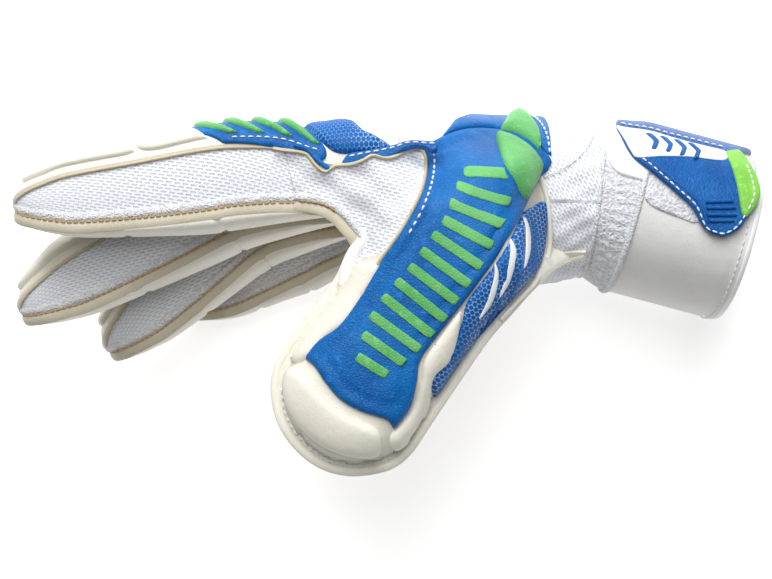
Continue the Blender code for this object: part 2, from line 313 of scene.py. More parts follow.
def grid(name, surface, a_range, c_range, look, zone, depth=PANEL, cell=1.5, relief=None,
         ring=False, turn=0.0):
    """A sheet over a rectangle of the surface, closed round its edges."""
    rows = max(int((a_range[1] - a_range[0]) / cell), 2) + 1
    columns = max(int((c_range[1] - c_range[0]) / cell), 2) + 1
    a = np.linspace(*a_range, rows)
    c = np.linspace(*c_range, columns, endpoint=not ring)
    aa, cc = (m.ravel() for m in np.meshgrid(a, c, indexing="ij"))
    lift = relief(aa, cc) if relief else np.zeros(len(aa))
    points = np.vstack([surface.raised(aa, cc, lift), surface.raised(aa, cc, -depth)])
    under = rows * columns
    faces = []
    for i in range(rows - 1):
        for j in range(columns if ring else columns - 1):
            k = (j + 1) % columns
            quad = (i * columns + j, i * columns + k, (i + 1) * columns + k, (i + 1) * columns + j)
            faces.append(quad)
            faces.append(tuple(v + under for v in reversed(quad)))
    border = []
    for i in (0, rows - 1):
        for j in range(columns if ring else columns - 1):
            border.append((i * columns + j, i * columns + (j + 1) % columns))
    if not ring:
        for j in (0, columns - 1):
            border += [(i * columns + j, (i + 1) * columns + j) for i in range(rows - 1)]
    faces += [(p, q, q + under, p + under) for p, q in border]
    uv = turned(np.column_stack([aa, cc]), turn)
    return build(name, points, faces, look, zone, np.vstack([uv, uv]))


EDGE_RINGS = (0.12, 0.4, 0.8)         # rows of points inside an outline, shares of its rounded edge


def spread(shape, edge, cell):
    """Points within an outline: the outline, rows along its rounded edge, and an even fill."""
    low, high = shape.min(0), shape.max(0)
    before, after = np.roll(shape, 1, axis=0), np.roll(shape, -1, axis=0)
    follow = after - before
    area = (shape[:, 0] * after[:, 1] - shape[:, 1] * after[:, 0]).sum()
    inward = unit(np.column_stack([-follow[:, 1], follow[:, 0]]) * np.sign(area))
    rings = [shape]
    for share in EDGE_RINGS:
        deep = edge * share
        ring = shape + inward * deep
        rings.append(ring[(distance(ring, shape) > deep * 0.9) & inside(ring, shape)])
    x, y = np.meshgrid(np.arange(low[0], high[0], cell), np.arange(low[1], high[1], cell))
    x = x + (np.arange(len(x)) % 2)[:, None] * cell / 2
    fill = np.column_stack([x.ravel(), y.ravel()])
    fill = fill[inside(fill, shape)]
    rings.append(fill[distance(fill, shape) > max(edge * EDGE_RINGS[-1], 0.3) + cell * 0.4])
    return np.vstack(rings)


def patch(name, surface, line, look, zone, rise=1.0, edge=2.0, lip=0.3, base=0.0, depth=1.0,
          cell=1.6, relief=None, turn=0.0):
    """A padded shape within an outline, rounded over its edge from lip up to rise, above base."""
    shape = clipped(line, zone.keep) if zone.keep else line
    if len(shape) < 3:
        return None
    shape = resample(shape, True, min(cell, 1.2))
    flat = [Vector(p) for p in spread(shape, edge, cell)]
    found = delaunay_2d_cdt(flat, [], [list(range(len(shape)))], 1, 1e-5)
    spots = np.array([tuple(p) for p in found[0]])
    triangles = [tuple(f) for f in found[2]]
    lift = base + mix(lip, rise, roll(distance(spots, line) / edge))
    if relief:
        lift = lift + relief(spots[:, 0], spots[:, 1])
    a, c = spots[:, 0], spots[:, 1]
    points = np.vstack([surface.raised(a, c, lift), surface.raised(a, c, base - depth)])
    under = len(spots)
    sides = [(t[i], t[(i + 1) % 3]) for t in triangles for i in range(3)]
    inner = {(q, p) for p, q in sides}
    faces = triangles + [tuple(v + under for v in reversed(t)) for t in triangles]
    faces += [(p, q, q + under, p + under) for p, q in sides if (p, q) not in inner]
    uv = turned(spots, turn)
    return build(name, points, faces, look, zone, np.vstack([uv, uv]))


def section(wide, tall, sides=8, power=2.0):
    """A rounded section for a sweep, as offsets sideways and outward."""
    angles = np.arange(sides) * math.tau / sides
    c, s = np.cos(angles), np.sin(angles)
    scale = (np.abs(c) ** power + np.abs(s) ** power) ** (-1 / power)
    return np.column_stack([c * scale * wide / 2, s * scale * tall / 2])


def sweep(name, path, outward, shape, look, zone):
    """A section carried along a path; outward is the direction of its second measure."""
    tangent = unit(np.gradient(path, axis=0))
    sideways = unit(np.cross(tangent, outward))
    up = np.cross(sideways, tangent)
    rows, sides = len(path), len(shape)
    points = (path[:, None, :] + sideways[:, None, :] * shape[None, :, :1]
              + up[:, None, :] * shape[None, :, 1:]).reshape(-1, 3)
    faces = []
    for i in range(rows - 1):
        for k in range(sides):
            m = (k + 1) % sides
            low, high = i * sides, (i + 1) * sides
            faces.append((low + k, low + m, high + m, high + k))
    faces.append(tuple(range(sides)))
    faces.append(tuple((rows - 1) * sides + k for k in range(sides)))
    uv = np.column_stack([np.repeat(reach_along(path), sides),
                          np.tile(np.arange(sides) * 1.0, rows)])
    return build(name, points, faces, look, zone, uv)


def kept_runs(line, zone):
    """The stretches of an open line that are on the zone's side."""
    if not zone.keep:
        return [line]
    nx, ny, limit = zone.keep
    mask = line[:, 0] * nx + line[:, 1] * ny <= limit + 0.6
    cuts = np.flatnonzero(np.diff(mask.astype(int))) + 1
    runs = [run for run in np.split(np.arange(len(line)), cuts) if mask[run[0]]]
    return [line[run] for run in runs if len(run) > 2]


def trim(name, surface, line, shape, look, zone, lift=0.0):
    """A piping, binding or ridge along a line on the surface."""
    made = []
    for i, run in enumerate(kept_runs(line, zone)):
        a, c = run[:, 0], run[:, 1]
        path = surface.raised(a, c, lift)
        made.append(sweep(f"{name}_{i + 1}", path, surface.normal(a, c), shape, look, zone))
    return made


STITCH_SIDES = 6
# a stitch's rings: place along it, share of its thickness, lift as a share of its thickness
STITCH_RINGS = ((-0.5, 0.35, -0.1), (-0.25, 1.0, 0.2), (0.25, 1.0, 0.2), (0.5, 0.35, -0.1))
FINE = {"pitch": 2.2, "size": 2.0, "thick": 0.6}


def stitch_row(name, path, outward, look, zone, pitch=3.0, size=1.9, thick=0.75):
    """Separate stitches along a path, each sunk at both ends."""
    reach = reach_along(path)
    count = int(reach[-1] / pitch)
    if count < 1:
        return None
    at = (np.arange(count) + 0.5) * pitch
    start, centre, end = (
        np.column_stack([np.interp(at + shift, reach, path[:, k]) for k in range(3)])
        for shift in (-size / 2, 0.0, size / 2))
    up = np.column_stack([np.interp(at, reach, outward[:, k]) for k in range(3)])
    tangent = unit(end - start)
    side = unit(np.cross(tangent, up))
    angles = np.arange(STITCH_SIDES) * math.tau / STITCH_SIDES
    points = []
    faces = []
    for i in range(count):
        first = len(points)
        for along, swell, lift in STITCH_RINGS:
            middle = centre[i] + tangent[i] * along * size + up[i] * lift * thick
            for angle in angles:
                push = side[i] * math.cos(angle) + up[i] * math.sin(angle)
                points.append(middle + push * swell * thick / 2)
        last = len(points) - STITCH_SIDES
        for low in range(first, last, STITCH_SIDES):
            high = low + STITCH_SIDES
            for k in range(STITCH_SIDES):
                m = (k + 1) % STITCH_SIDES
                faces.append((low + k, low + m, high + m, high + k))
        faces.append(tuple(range(first, first + STITCH_SIDES)))
        faces.append(tuple(range(last, last + STITCH_SIDES)))
    return build(name, np.array(points), faces, look, zone)


def stitches(name, surface, line, look, zone, lift=0.3, **sizes):
    """Stitches along a line on the surface."""
    for i, run in enumerate(kept_runs(line, zone)):
        a, c = run[:, 0], run[:, 1]
        path = surface.raised(a, c, lift)
        stitch_row(f"{name}_{i + 1}", path, surface.normal(a, c), look, zone, **sizes)


# ------------------------------------------------------------------ materials

LOOKS = {}


class Nodes:
    """Short ways to write a material's nodes."""

    def __init__(self, name, slot_name, roughness):
        self.material = bpy.data.materials.new(name)
        self.material.use_nodes = True
        self.tree = self.material.node_tree
        self.shader = self.tree.nodes["Principled BSDF"]
        self.shader.inputs["Roughness"].default_value = roughness
        LOOKS[name] = (self.material, slot_name)

    def add(self, kind, **settings):
        """One node with its settings."""
        node = self.tree.nodes.new(kind)
        for key, value in settings.items():
            setattr(node, key, value)
        return node

    def link(self, source, target):
        """Join two sockets."""
        self.tree.links.new(source, target)

    def math(self, operation, first, second=None, third=None):
        """A math node on sockets or numbers."""
        node = self.add("ShaderNodeMath", operation=operation)
        for socket, value in zip(node.inputs, (first, second, third)):
            if value is None:
                continue
            if isinstance(value, (int, float)):
                socket.default_value = value
            else:
                self.link(value, socket)
        return node.outputs[0]

    def uv(self):
        """The two surface measures in millimetres, apart and together."""
        coordinates = self.add("ShaderNodeTexCoord")
        split = self.add("ShaderNodeSeparateXYZ")
        self.link(coordinates.outputs["UV"], split.inputs[0])
        return split.outputs[0], split.outputs[1], coordinates.outputs["UV"]

    def noise(self, vector, scale, detail=3.0):
        """Noise whose scale is in features per unit."""
        node = self.add("ShaderNodeTexNoise")
        node.inputs["Scale"].default_value = scale
        node.inputs["Detail"].default_value = detail
        self.link(vector, node.inputs["Vector"])
        return node.outputs["Fac"]

    def span(self, value, low, high, start=0.0, end=1.0):
        """Map a range smoothly."""
        node = self.add("ShaderNodeMapRange", interpolation_type="SMOOTHSTEP")
        self.link(value, node.inputs["Value"])
        limits = {"From Min": low, "From Max": high, "To Min": start, "To Max": end}
        for key, number in limits.items():
            node.inputs[key].default_value = number
        return node.outputs[0]

    def blend(self, share, first, second):
        """Mix two colours; each is a socket or a colour."""
        node = self.add("ShaderNodeMix", data_type="RGBA")
        self.link(share, node.inputs[0])
        for socket, value in ((node.inputs[6], first), (node.inputs[7], second)):
            if isinstance(value, tuple):
                socket.default_value = (*value, 1.0)
            else:
                self.link(value, socket)
        return node.outputs[2]

    def bump(self, heights):
        """Join (height socket, depth in metres) pairs into one bump chain."""
        normal = None
        for height, depth in heights:
            node = self.add("ShaderNodeBump")
            node.inputs["Distance"].default_value = depth
            self.link(height, node.inputs["Height"])
            if normal:
                self.link(normal, node.inputs["Normal"])
            normal = node.outputs[0]
        self.link(normal, self.shader.inputs["Normal"])

    def colour(self, value):
        """The base colour."""
        if isinstance(value, tuple):
            self.shader.inputs["Base Color"].default_value = (*value, 1.0)
        else:
            self.link(value, self.shader.inputs["Base Color"])


def object_position(n):
    """Object coordinates in metres."""
    return n.add("ShaderNodeTexCoord").outputs["Object"]


def foam_latex(name, slot_name, light, dark, roughness=0.62):
    """Soft latex foam: uneven tone and a fine skin."""
    n = Nodes(name, slot_name, roughness)
    place = object_position(n)
    tone = n.span(n.noise(place, 45.0, 4.0), 0.35, 0.7)
    fine = n.noise(place, 1900.0, 2.0)
    mottle = n.noise(place, 260.0, 3.0)
    speck = n.span(fine, 0.3, 0.75)
    n.colour(n.blend(speck, n.blend(tone, light, dark), light))
    n.bump([(fine, 0.00012), (mottle, 0.0002)])


def leather_latex(name, slot_name, light, dark, roughness=0.42):
    """Embossed synthetic leather with grain and soft creases."""
    n = Nodes(name, slot_name, roughness)
    n.shader.inputs["Specular IOR Level"].default_value = 0.22
    place = object_position(n)
    grain = n.add("ShaderNodeTexVoronoi", feature="DISTANCE_TO_EDGE")
    grain.inputs["Scale"].default_value = 900.0
    n.link(place, grain.inputs["Vector"])
    cells = n.span(grain.outputs["Distance"], 0.0, 0.25)
    crease = n.noise(place, 110.0, 5.0)
    tone = n.span(n.noise(place, 60.0, 4.0), 0.3, 0.72)
    worn = n.span(n.noise(place, 420.0, 4.0), 0.56, 0.75)
    mixed = n.blend(tone, dark, light)
    lighter = tuple(min(c * 1.14 + 0.01, 1.0) for c in light)
    n.colour(n.blend(worn, mixed, lighter))
    n.bump([(cells, 0.00008), (crease, 0.0005)])


KNIT_ROW = 1.15                       # millimetres from row to row of the mesh
KNIT_PITCH = 2.9                      # millimetres from slot to slot in a row
KNIT_ROWS_BELOW = 2000.0              # an even count that keeps every row number positive
KNIT_CELLS_BELOW = 900.0              # a whole count that keeps every cell number positive


def dash_mesh(name, slot_name):
    """White warp-knit mesh with staggered slots."""
    n = Nodes(name, slot_name, 0.85)
    u, v, both = n.uv()

    def off_centre(cells):
        """Distance from the middle of a cell, as a share of the cell."""
        share = n.math("FRACT", n.math("ADD", cells, KNIT_CELLS_BELOW))
        return n.math("ABSOLUTE", n.math("SUBTRACT", share, 0.5))

    row = n.math("DIVIDE", v, KNIT_ROW)
    odd = n.math("MODULO", n.math("FLOOR", n.math("ADD", row, KNIT_ROWS_BELOW)), 2.0)
    column = n.math("ADD", n.math("DIVIDE", u, KNIT_PITCH), n.math("MULTIPLY", odd, 0.5))
    across, down = off_centre(column), off_centre(row)
    reach = n.math("MAXIMUM", n.math("MULTIPLY", across, 3.3), n.math("MULTIPLY", down, 5.2))
    slot_mask = n.span(reach, 0.8, 1.15, 1.0, 0.0)
    knit = n.noise(both, 5.0, 2.0)
    # the slots are real openings; their grey-blue is painted shade in the hollows
    n.colour(n.blend(slot_mask, (0.88, 0.90, 0.94), (0.64, 0.69, 0.78)))
    hollow = n.math("SUBTRACT", 1.0, slot_mask)
    n.bump([(hollow, 0.0005), (knit, 0.0001)])


HEXAGON_PITCH = 1.42                  # millimetres from row to row of the honeycomb


def hexagon_latex(name, slot_name):
    """Blue latex printed with a fine honeycomb."""
    n = Nodes(name, slot_name, 0.5)
    n.shader.inputs["Specular IOR Level"].default_value = 0.22
    u, v, _ = n.uv()
    turns = math.tau / HEXAGON_PITCH
    waves = []
    for angle in (90.0, 210.0, 330.0):
        c, s = math.cos(math.radians(angle)) * turns, math.sin(math.radians(angle)) * turns
        phase = n.math("ADD", n.math("MULTIPLY", u, c), n.math("MULTIPLY", v, s))
        waves.append(n.math("COSINE", phase))
    total = n.math("ADD", n.math("ADD", waves[0], waves[1]), waves[2])
    lines = n.span(total, -1.2, -0.65, 1.0, 0.0)
    place = object_position(n)
    fade = n.span(n.noise(place, 60.0, 2.0), 0.35, 0.7)
    ink = n.blend(fade, (0.05, 0.21, 0.60), (0.30, 0.50, 0.82))
    n.colour(n.blend(lines, (0.003, 0.105, 0.38), ink))
    n.bump([(lines, 0.00015)])


def pile(name, slot_name, light, dark, scale=700.0):
    """A fuzzy loop pile."""
    n = Nodes(name, slot_name, 0.95)
    place = object_position(n)
    loops = n.noise(place, scale, 3.0)
    clump = n.noise(place, scale / 4, 3.0)
    n.colour(n.blend(n.span(loops, 0.35, 0.68), dark, light))
    n.bump([(loops, 0.0009), (clump, 0.0008)])


def thread(name, tone):
    """Twisted thread."""
    n = Nodes(name, None, 0.7)
    place = object_position(n)
    twist = n.noise(place, 1600.0, 2.0)
    n.colour(n.blend(n.span(twist, 0.3, 0.7), tuple(c * 0.78 for c in tone), tone))
    n.bump([(twist, 0.0002)])


def make_looks():
    """Every material used below."""
    foam_latex("cream_latex", "cream_latex", (0.86, 0.83, 0.73), (0.80, 0.76, 0.64))
    foam_latex("palm_latex", "cream_latex", (0.86, 0.83, 0.75), (0.78, 0.75, 0.66))
    # painted shade: a darker cream copy for the thumb side's base sheet, standing in for the shade
    # in the channels between its pads
    foam_latex("channel_latex", "cream_latex", (0.80, 0.77, 0.67), (0.70, 0.66, 0.55))
    foam_latex("edge_latex", "cream_latex", (0.60, 0.55, 0.43), (0.50, 0.45, 0.33))
    foam_latex("white_latex", "white_latex", (0.90, 0.90, 0.90), (0.84, 0.84, 0.85), 0.5)
    # painted shade: a grey copy of the white latex for the cuff, standing in for the shade that
    # falls on it
    foam_latex("cuff_latex", "white_latex", (0.74, 0.735, 0.72), (0.66, 0.655, 0.64), 0.5)
    leather_latex("blue_latex", "blue_latex", (0.004, 0.150, 0.47), (0.002, 0.100, 0.36))
    leather_latex("blue_rubber", "blue_rubber", (0.002, 0.115, 0.40), (0.001, 0.08, 0.31), 0.36)
    leather_latex("green_latex", "green_latex", (0.16, 0.50, 0.17), (0.10, 0.41, 0.11))
    leather_latex("green_rubber", "green_latex", (0.25, 0.62, 0.09), (0.19, 0.52, 0.07), 0.35)
    dash_mesh("white_mesh", "white_mesh")
    hexagon_latex("hexagon_latex", "blue_latex")
    pile("white_terry", "white_terry", (0.86, 0.86, 0.88), (0.60, 0.61, 0.66), 950.0)
    pile("white_hook", "white_hook", (0.86, 0.87, 0.90), (0.55, 0.57, 0.62), 1100.0)
    pile("white_binding", None, (0.92, 0.92, 0.93), (0.74, 0.75, 0.78), 1500.0)
    thread("gold_thread", (0.56, 0.36, 0.14))
    thread("white_thread", (0.92, 0.93, 0.95))
    foam_latex("tan_piping", None, (0.62, 0.54, 0.38), (0.52, 0.44, 0.29))


# ------------------------------------------------------------------ fingers


class Finger:
    """One finger as a bent, flat-cut tube; a runs along it from the knuckle."""

    def __init__(self, name):
        self.name = name
        z, self.width, knuckle, middle, tip = FINGERS[name]
        self.z = z
        knuckle, middle, tip = (np.array(p) for p in (knuckle, middle, tip))
        self.first = np.linalg.norm(middle - knuckle)
        self.length = self.first + np.linalg.norm(tip - middle)
        self.knuckle = np.array((*knuckle, z))
        self.middle = np.array((*middle, z))
        self.ways = [(b - a) / np.linalg.norm(b - a) for a, b in ((knuckle, middle), (middle, tip))]
        turns = [math.atan2(w[1], w[0]) % math.tau for w in self.ways]
        self.reach = np.linspace(-60.0, self.length + 10.0, 800)
        bend = ease((self.reach - self.first + FINGER_BEND) / (2 * FINGER_BEND))
        self.turn = mix(turns[0], turns[1], bend)
        step = self.reach[1] - self.reach[0]
        x = np.cumsum(np.cos(self.turn)) * step
        y = np.cumsum(np.sin(self.turn)) * step
        self.x = x - np.interp(0.0, self.reach, x) + knuckle[0]
        self.y = y - np.interp(0.0, self.reach, y) + knuckle[1]
        rows = curve(FINGER_PROFILE, False, 0.05)
        self.rows = rows[np.argsort(rows[:, 0])]

    def profile(self, a, column):
        """One column of the profile at a distance along."""
        return np.interp(a / self.length, self.rows[:, 0], self.rows[:, column])

    def at(self, a, across, height):
        """A point from distance along, sideways and towards the back."""
        turn = np.interp(a, self.reach, self.turn)
        x = np.interp(a, self.reach, self.x) + np.sin(turn) * height
        y = np.interp(a, self.reach, self.y) - np.cos(turn) * height
        return np.column_stack([x, y, self.z + across])

    def half_width(self, a):
        """Half the width at a distance along."""
        return self.width / 2 * self.profile(a, WIDTH_SHARE)

    def arch(self, a, c, seam, top, power):
        """A panel's rounded section, from its seams' height to its middle's height."""
        angle = np.clip(c / HALF_ARC, -ARC_LIMIT, ARC_LIMIT) * math.pi / 2
        rise = np.sign(np.cos(angle)) * np.abs(np.cos(angle)) ** power
        return self.at(a, self.half_width(a) * np.sin(angle), seam + (top - seam) * rise)

    def back(self, a, c):
        """The back panel's surface."""
        return self.arch(a, c, self.profile(a, BACK_SEAM), self.profile(a, BACK_TOP), 0.8)

    def palm(self, a, c):
        """The palm panel's surface below its cut edge."""
        seam = self.profile(a, PALM_SEAM) - EDGE_TALL * 0.8 * self.profile(a, WIDTH_SHARE)
        bottom = np.minimum(self.profile(a, PALM_BOTTOM), seam - 1.0)
        return self.arch(a, c, seam, bottom, 0.7)

    def side(self, a, c, sign):
        """A gusset's surface; c runs from the palm seam up to the back seam."""
        share = np.clip(c / GUSSET_TALL, -0.1, 1.1)
        height = mix(self.profile(a, PALM_SEAM), self.profile(a, BACK_SEAM), share)
        bulge = 0.9 * np.sin(np.clip(share, 0, 1) * math.pi) - 0.9
        return self.at(a, sign * (self.half_width(a) + bulge), height)

    def seam_path(self, column, drop, out):
        """A line round the finger at a seam: points, outward directions, distances along."""
        start = SEAM_START.get(self.name, OTHER_SEAM_START)
        a = np.append(np.arange(start, self.length - 0.2, SEAM_SPACING), self.length - 0.1)
        height = self.profile(a, column) + drop
        edge = self.half_width(a) + out
        path = np.vstack([self.at(a, edge, height), self.at(a, -edge, height)[::-1]])
        middle = self.at(a, edge * 0, height)
        away = unit(path - np.vstack([middle, middle[::-1]]))
        along = np.concatenate([a, a[::-1]])
        ahead = ease((along / self.length - 0.9) / 0.1)[:, None]
        turn = np.interp(along, self.reach, self.turn)
        tipward = np.column_stack([np.cos(turn), np.sin(turn), turn * 0])
        return path, unit(away + tipward * ahead * 1.4), along


def finger_zones(finger):
    """The base piece and the tip piece of a finger."""
    split = finger.first * FINGER_SPLIT
    name = finger.name
    along = np.array((*finger.ways[0], 0.0))
    far = np.array((*finger.ways[1], 0.0))
    base = Zone("hand", f"{name}_base", finger.knuckle - along * 8, finger.knuckle + along * 8,
                (1.0, 0.0, split))
    tip = Zone(f"{name}_base", f"{name}_tip", finger.middle - along * 9, finger.middle + far * 9,
               (-1.0, 0.0, -split))
    return base, tip, split


def finger_pads(finger):
    """Outlines of the raised pads on the back of a finger's tip piece."""
    end = finger.length
    first = finger.first
    wide = HALF_ARC * 0.78
    distal = outline(
        [(first + 25, wide), (first + 27, 0.0), (first + 25, -wide)],
        [(first + 32, -wide * 1.05), (end - 9, -wide * 0.9), (end - 5.0, 0.0),
         (end - 9, wide * 0.9), (first + 32, wide * 1.05)])
    middle = outline(
        [(first, wide), (first + 6, 0.0), (first, -wide)],
        [(first + 22, -wide), (first + 24.5, 0.0), (first + 22, wide)])
    return {"distal": distal, "middle": middle}


def finger_sides(finger, part, zone, start, end):
    """The two mesh gussets of one piece of a finger."""
    for label, sign in (("upper", 1.0), ("lower", -1.0)):
        side = Surface(lambda a, c, sign=sign: finger.side(a, c, sign), -sign)
        piece = grid(f"{finger.name}_{part}_mesh_{label}", side, (start, end), (0.0, GUSSET_TALL),
                     "white_mesh", zone, depth=1.2, cell=2.0, turn=math.radians(-16))
        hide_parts(f"{finger.name}_{part}_gusset_{label}")


SEAM_START = {"index": 4.5}           # where a finger's seams begin, from the knuckle
OTHER_SEAM_START = -6.0
SEAM_SPACING = 1.6
SEAM_OVERLAP = 0.8                    # how far a seam runs past the split between two pieces
# name, profile column, height over it, distance out from the side, section, look
SEAM_TRIMS = (
    ("piping", BACK_SEAM, -0.3, -0.2, section(1.2, 1.3), "tan_piping"),
    ("flange", BACK_SEAM, 0.9, -0.6, section(2.0, 1.6), "cream_latex"),
    ("binding", PALM_SEAM, 1.7, -0.5, section(3.2, 1.7), "white_binding"),
    ("edge", PALM_SEAM, -EDGE_TALL / 2, -0.9, section(EDGE_TALL, 2.4, 12, 4.0), "edge_latex"),
)


def seam_stretches(finger, part, split, column, drop, out):
    """A seam's stretches on one piece: name ending, points and outward directions."""
    path, away, along = finger.seam_path(column, drop, out)
    if part == "tip":
        mask = along >= split - SEAM_OVERLAP
        return [("", path[mask], away[mask])]
    half = len(path) // 2
    stretches = []
    for tag, pick in (("_upper", slice(0, half)), ("_lower", slice(half, None))):
        mask = along[pick] <= split + SEAM_OVERLAP
        stretches.append((tag, path[pick][mask], away[pick][mask]))
    return stretches


def finger_trims(finger, part, zone, split):
    """Piping, flange, binding, the palm's cut edge and its golden thread round one piece."""
    for label, column, drop, out, shape, look in SEAM_TRIMS:
        for tag, path, away in seam_stretches(finger, part, split, column, drop, out):
            sweep(f"{finger.name}_{part}_{label}{tag}", path, away, shape, look, zone)
    for tag, path, away in seam_stretches(finger, part, split, PALM_SEAM, -0.1, 0.35):
        stitch_row(f"{finger.name}_{part}_thread{tag}", path, away, "gold_thread", zone, **FINE)


CREASE_DEPTH = 0.8


def build_finger(name):
    """Every piece of one finger."""
    finger = Finger(name)
    back = Surface(finger.back, 1.0)
    palm = Surface(finger.palm, -1.0)
    base, tip, split = finger_zones(finger)
    start = finger.length * FINGER_START
    pads = finger_pads(finger)

    def creases(a, c):
        """Pressed flex lines across the finger's palm side."""
        places = (finger.first * 0.12, finger.first, (finger.first + finger.length) / 2)
        bow = 1.5 * np.cos(c / 14.0)
        return sum(-CREASE_DEPTH * np.exp(-(a - at + bow) ** 2) for at in places)

    for part, zone, a_range in (("base", base, (start, split)),
                                ("tip", tip, (split, finger.length))):
        panel = grid(f"{name}_{part}_back", back, a_range, (-HALF_ARC, HALF_ARC), "cream_latex",
                     zone, cell=1.6)
        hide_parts(f"{name}_{part}_back_panel")
        face = grid(f"{name}_{part}_palm", palm, a_range, (-HALF_ARC, HALF_ARC), "palm_latex",
                    zone, cell=1.2, relief=creases)
        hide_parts(f"{name}_{part}_palm_latex")
        finger_sides(finger, part, zone, *a_range)
        finger_trims(finger, part, zone, split)
    for label, line in pads.items():
        piece = patch(f"{name}_{label}_pad", back, line, "cream_latex", tip, rise=2.0, edge=2.6,
                      lip=0.1)
    return finger


# ------------------------------------------------------------------ thumb side


def hand_section(f):
    """Power, middle z, half z, middle y, half y and tilt of the hand's section."""
    return (mix(3.2, 2.3, f), mix(50.5, 40.0, f), mix(51.0, 41.0, f),
            mix(37.0, 32.0, f), mix(24.0, 30.5, f), mix(0.12, 0.0, f))


def hand_top(x, y):
    """Height of the hand's thumb side at (x, y)."""
    f = np.clip((x - HAND_FRONT[0]) / (HAND_REAR - HAND_FRONT[0]), 0.0, 1.0)
    power, middle_z, half_z, middle_y, half_y, tilt = hand_section(f)
    across = half_z * 0.9
    for _ in range(3):
        off = np.abs(y - middle_y - tilt * across) / half_y
        across = half_z * (1.0 - np.clip(off, 0.0, 0.99) ** power) ** (1.0 / power)
    return middle_z + across - np.maximum(off - 0.99, 0.0) * 60.0


RIM = curve(THUMB_RIM, False, 1.5)
UP = np.array((0.572, 0.820))         # from the thumb's joint towards its root
LEVEL_FALL = (42.0, 30.0, 28.0)       # x where the flange starts to fall, over what, by how much
# distance up the thumb and the pillow's height there
CREST = ((-20.0, 12.0), (5.0, 12.0), (15.0, 11.5), (25.0, 10.0), (35.0, 7.5), (45.0, 4.0),
         (56.0, -2.0))


def thumb_level(x):
    """Height of the thumb's flange, falling towards the wrist."""
    start, run, fall = LEVEL_FALL
    return THUMB_LEVEL - fall * ease((x - start) / run)


def thumb_top(x, y):
    """Height of the thumb's pillow at (x, y)."""
    spots = np.column_stack([x, y])
    gap = distance(spots, RIM, False) - THUMB_FLANGE
    up = (x - THUMB_KNUCKLE[0]) * UP[0] + (y - THUMB_KNUCKLE[1]) * UP[1]
    crest = np.interp(up, *zip(*CREST))
    return thumb_level(x) + crest * roll(gap / THUMB_ROLL)


BACK_EDGE = curve([(14.0, 48.5), (18.6, 53.0), (25.8, 56.0), (37.9, 57.0), (46.0, 56.4),
                   (52.5, 53.0), (57.6, 47.0), (59.6, 36.0), (61.0, 24.0), (66.0, 16.0),
                   (76.0, 14.0)])


def side_height(x, y):
    """The thumb side's height: the pillow run smoothly into the hand."""
    hand = np.where(x < -25.0, 60.0, hand_top(x, y))
    near = distance(np.column_stack([x, y]), BACK_EDGE, False)
    thumb = hand + (thumb_top(x, y) - hand) * ease(near / 22.0)
    return (hand + thumb + np.sqrt((hand - thumb) ** 2 + 4.0)) / 2 - 1.0


def thumb_under(x, y):
    """Height of the thumb's palm side."""
    gap = distance(np.column_stack([x, y]), RIM, False) - THUMB_FLANGE
    return thumb_level(x) - 5.5 - 8.5 * roll(gap / THUMB_ROLL)


def raised_plan(height, outward=1.0):
    """The surface z = height(x, y)."""
    return Surface(lambda x, y: np.column_stack([x, y, height(x, y)]), outward)


THUMB_SIDE = raised_plan(side_height)
THUMB_PALM = raised_plan(thumb_under, -1.0)


def thumb_zones():
    """The root half and the tip half of everything on the thumb side."""
    middle = (THUMB_KNUCKLE + THUMB_JOINT) / 2
    limit = middle[0] * UP[0] + middle[1] * UP[1]
    up = np.array((*UP, 0.0))
    root = Zone("hand", "thumb_base", THUMB_KNUCKLE + up * 9, THUMB_KNUCKLE - up * 9,
                (-UP[0], -UP[1], -limit))
    tip = Zone("thumb_base", "thumb_tip", THUMB_JOINT + up * 9, THUMB_JOINT - up * 9,
               (UP[0], UP[1], limit))
    return (("root", root), ("tip", tip))


BLUE_LEFT = [(12.4, 49.2), (14.4, 44.8), (14.1, 39.0), (12.5, 33.1), (9.3, 26.5), (5.2, 19.3),
             (0.2, 11.8), (-3.8, 4.8), (-9.2, -4.2), (-15.6, -12.6), (-21.0, -16.6), (-24.2, -19.6)]
BLUE_TIP = [(-27.1, -23.8), (-24.0, -26.2), (-20.6, -31.3), (-15.6, -37.1), (-8.8, -41.1),
            (-3.4, -42.8), (0.6, -44.3)]
BLUE_RIGHT = [(2.4, -47.2), (7.8, -39.8), (10.2, -31.3), (11.4, -24.2), (16.4, -16.8),
              (25.4, -5.2), (31.8, 3.3), (38.1, 12.1), (46.2, 26.8), (52.6, 37.8)]
BLUE_TOP = [(57.2, 42.0), (58.6, 46.0), (52.5, 51.2), (45.4, 55.4), (37.9, 56.2), (32.7, 56.4),
            (25.8, 55.4), (18.6, 52.6)]
KIDNEY = [(-34.6, -30.0), (-32.4, -26.9), (-28.6, -27.2), (-25.4, -30.6), (-21.6, -35.4),
          (-15.8, -40.5), (-9.2, -44.4), (-4.6, -46.2), (-1.9, -49.0), (-1.7, -54.8), (-4.8, -57.0),
          (-11.6, -56.6), (-19.2, -54.2), (-25.8, -49.8), (-31.0, -43.8), (-34.2, -37.1)]
RIGHT_CREAM = [(1.6, -49.6), (2.4, -55.0), (6.8, -52.8), (11.4, -46.7), (14.2, -39.9),
               (15.9, -30.0), (21.2, -24.4), (24.2, -15.8), (25.4, -6.8), (17.8, -16.2),
               (12.8, -23.8), (11.6, -31.3), (9.0, -40.6)]
LEFT_CREAM = [(-31.2, -25.2), (-32.4, -22.8), (-29.4, -16.0), (-24.4, -8.4), (-19.0, -2.0),
              (-13.4, 4.0), (-8.2, 9.0), (-2.2, 7.4), (-7.4, -2.6), (-13.6, -11.8), (-20.4, -17.0),
              (-25.8, -23.0)]
BLUE_PANEL = outline(BLUE_LEFT, BLUE_TIP, BLUE_RIGHT, BLUE_TOP)
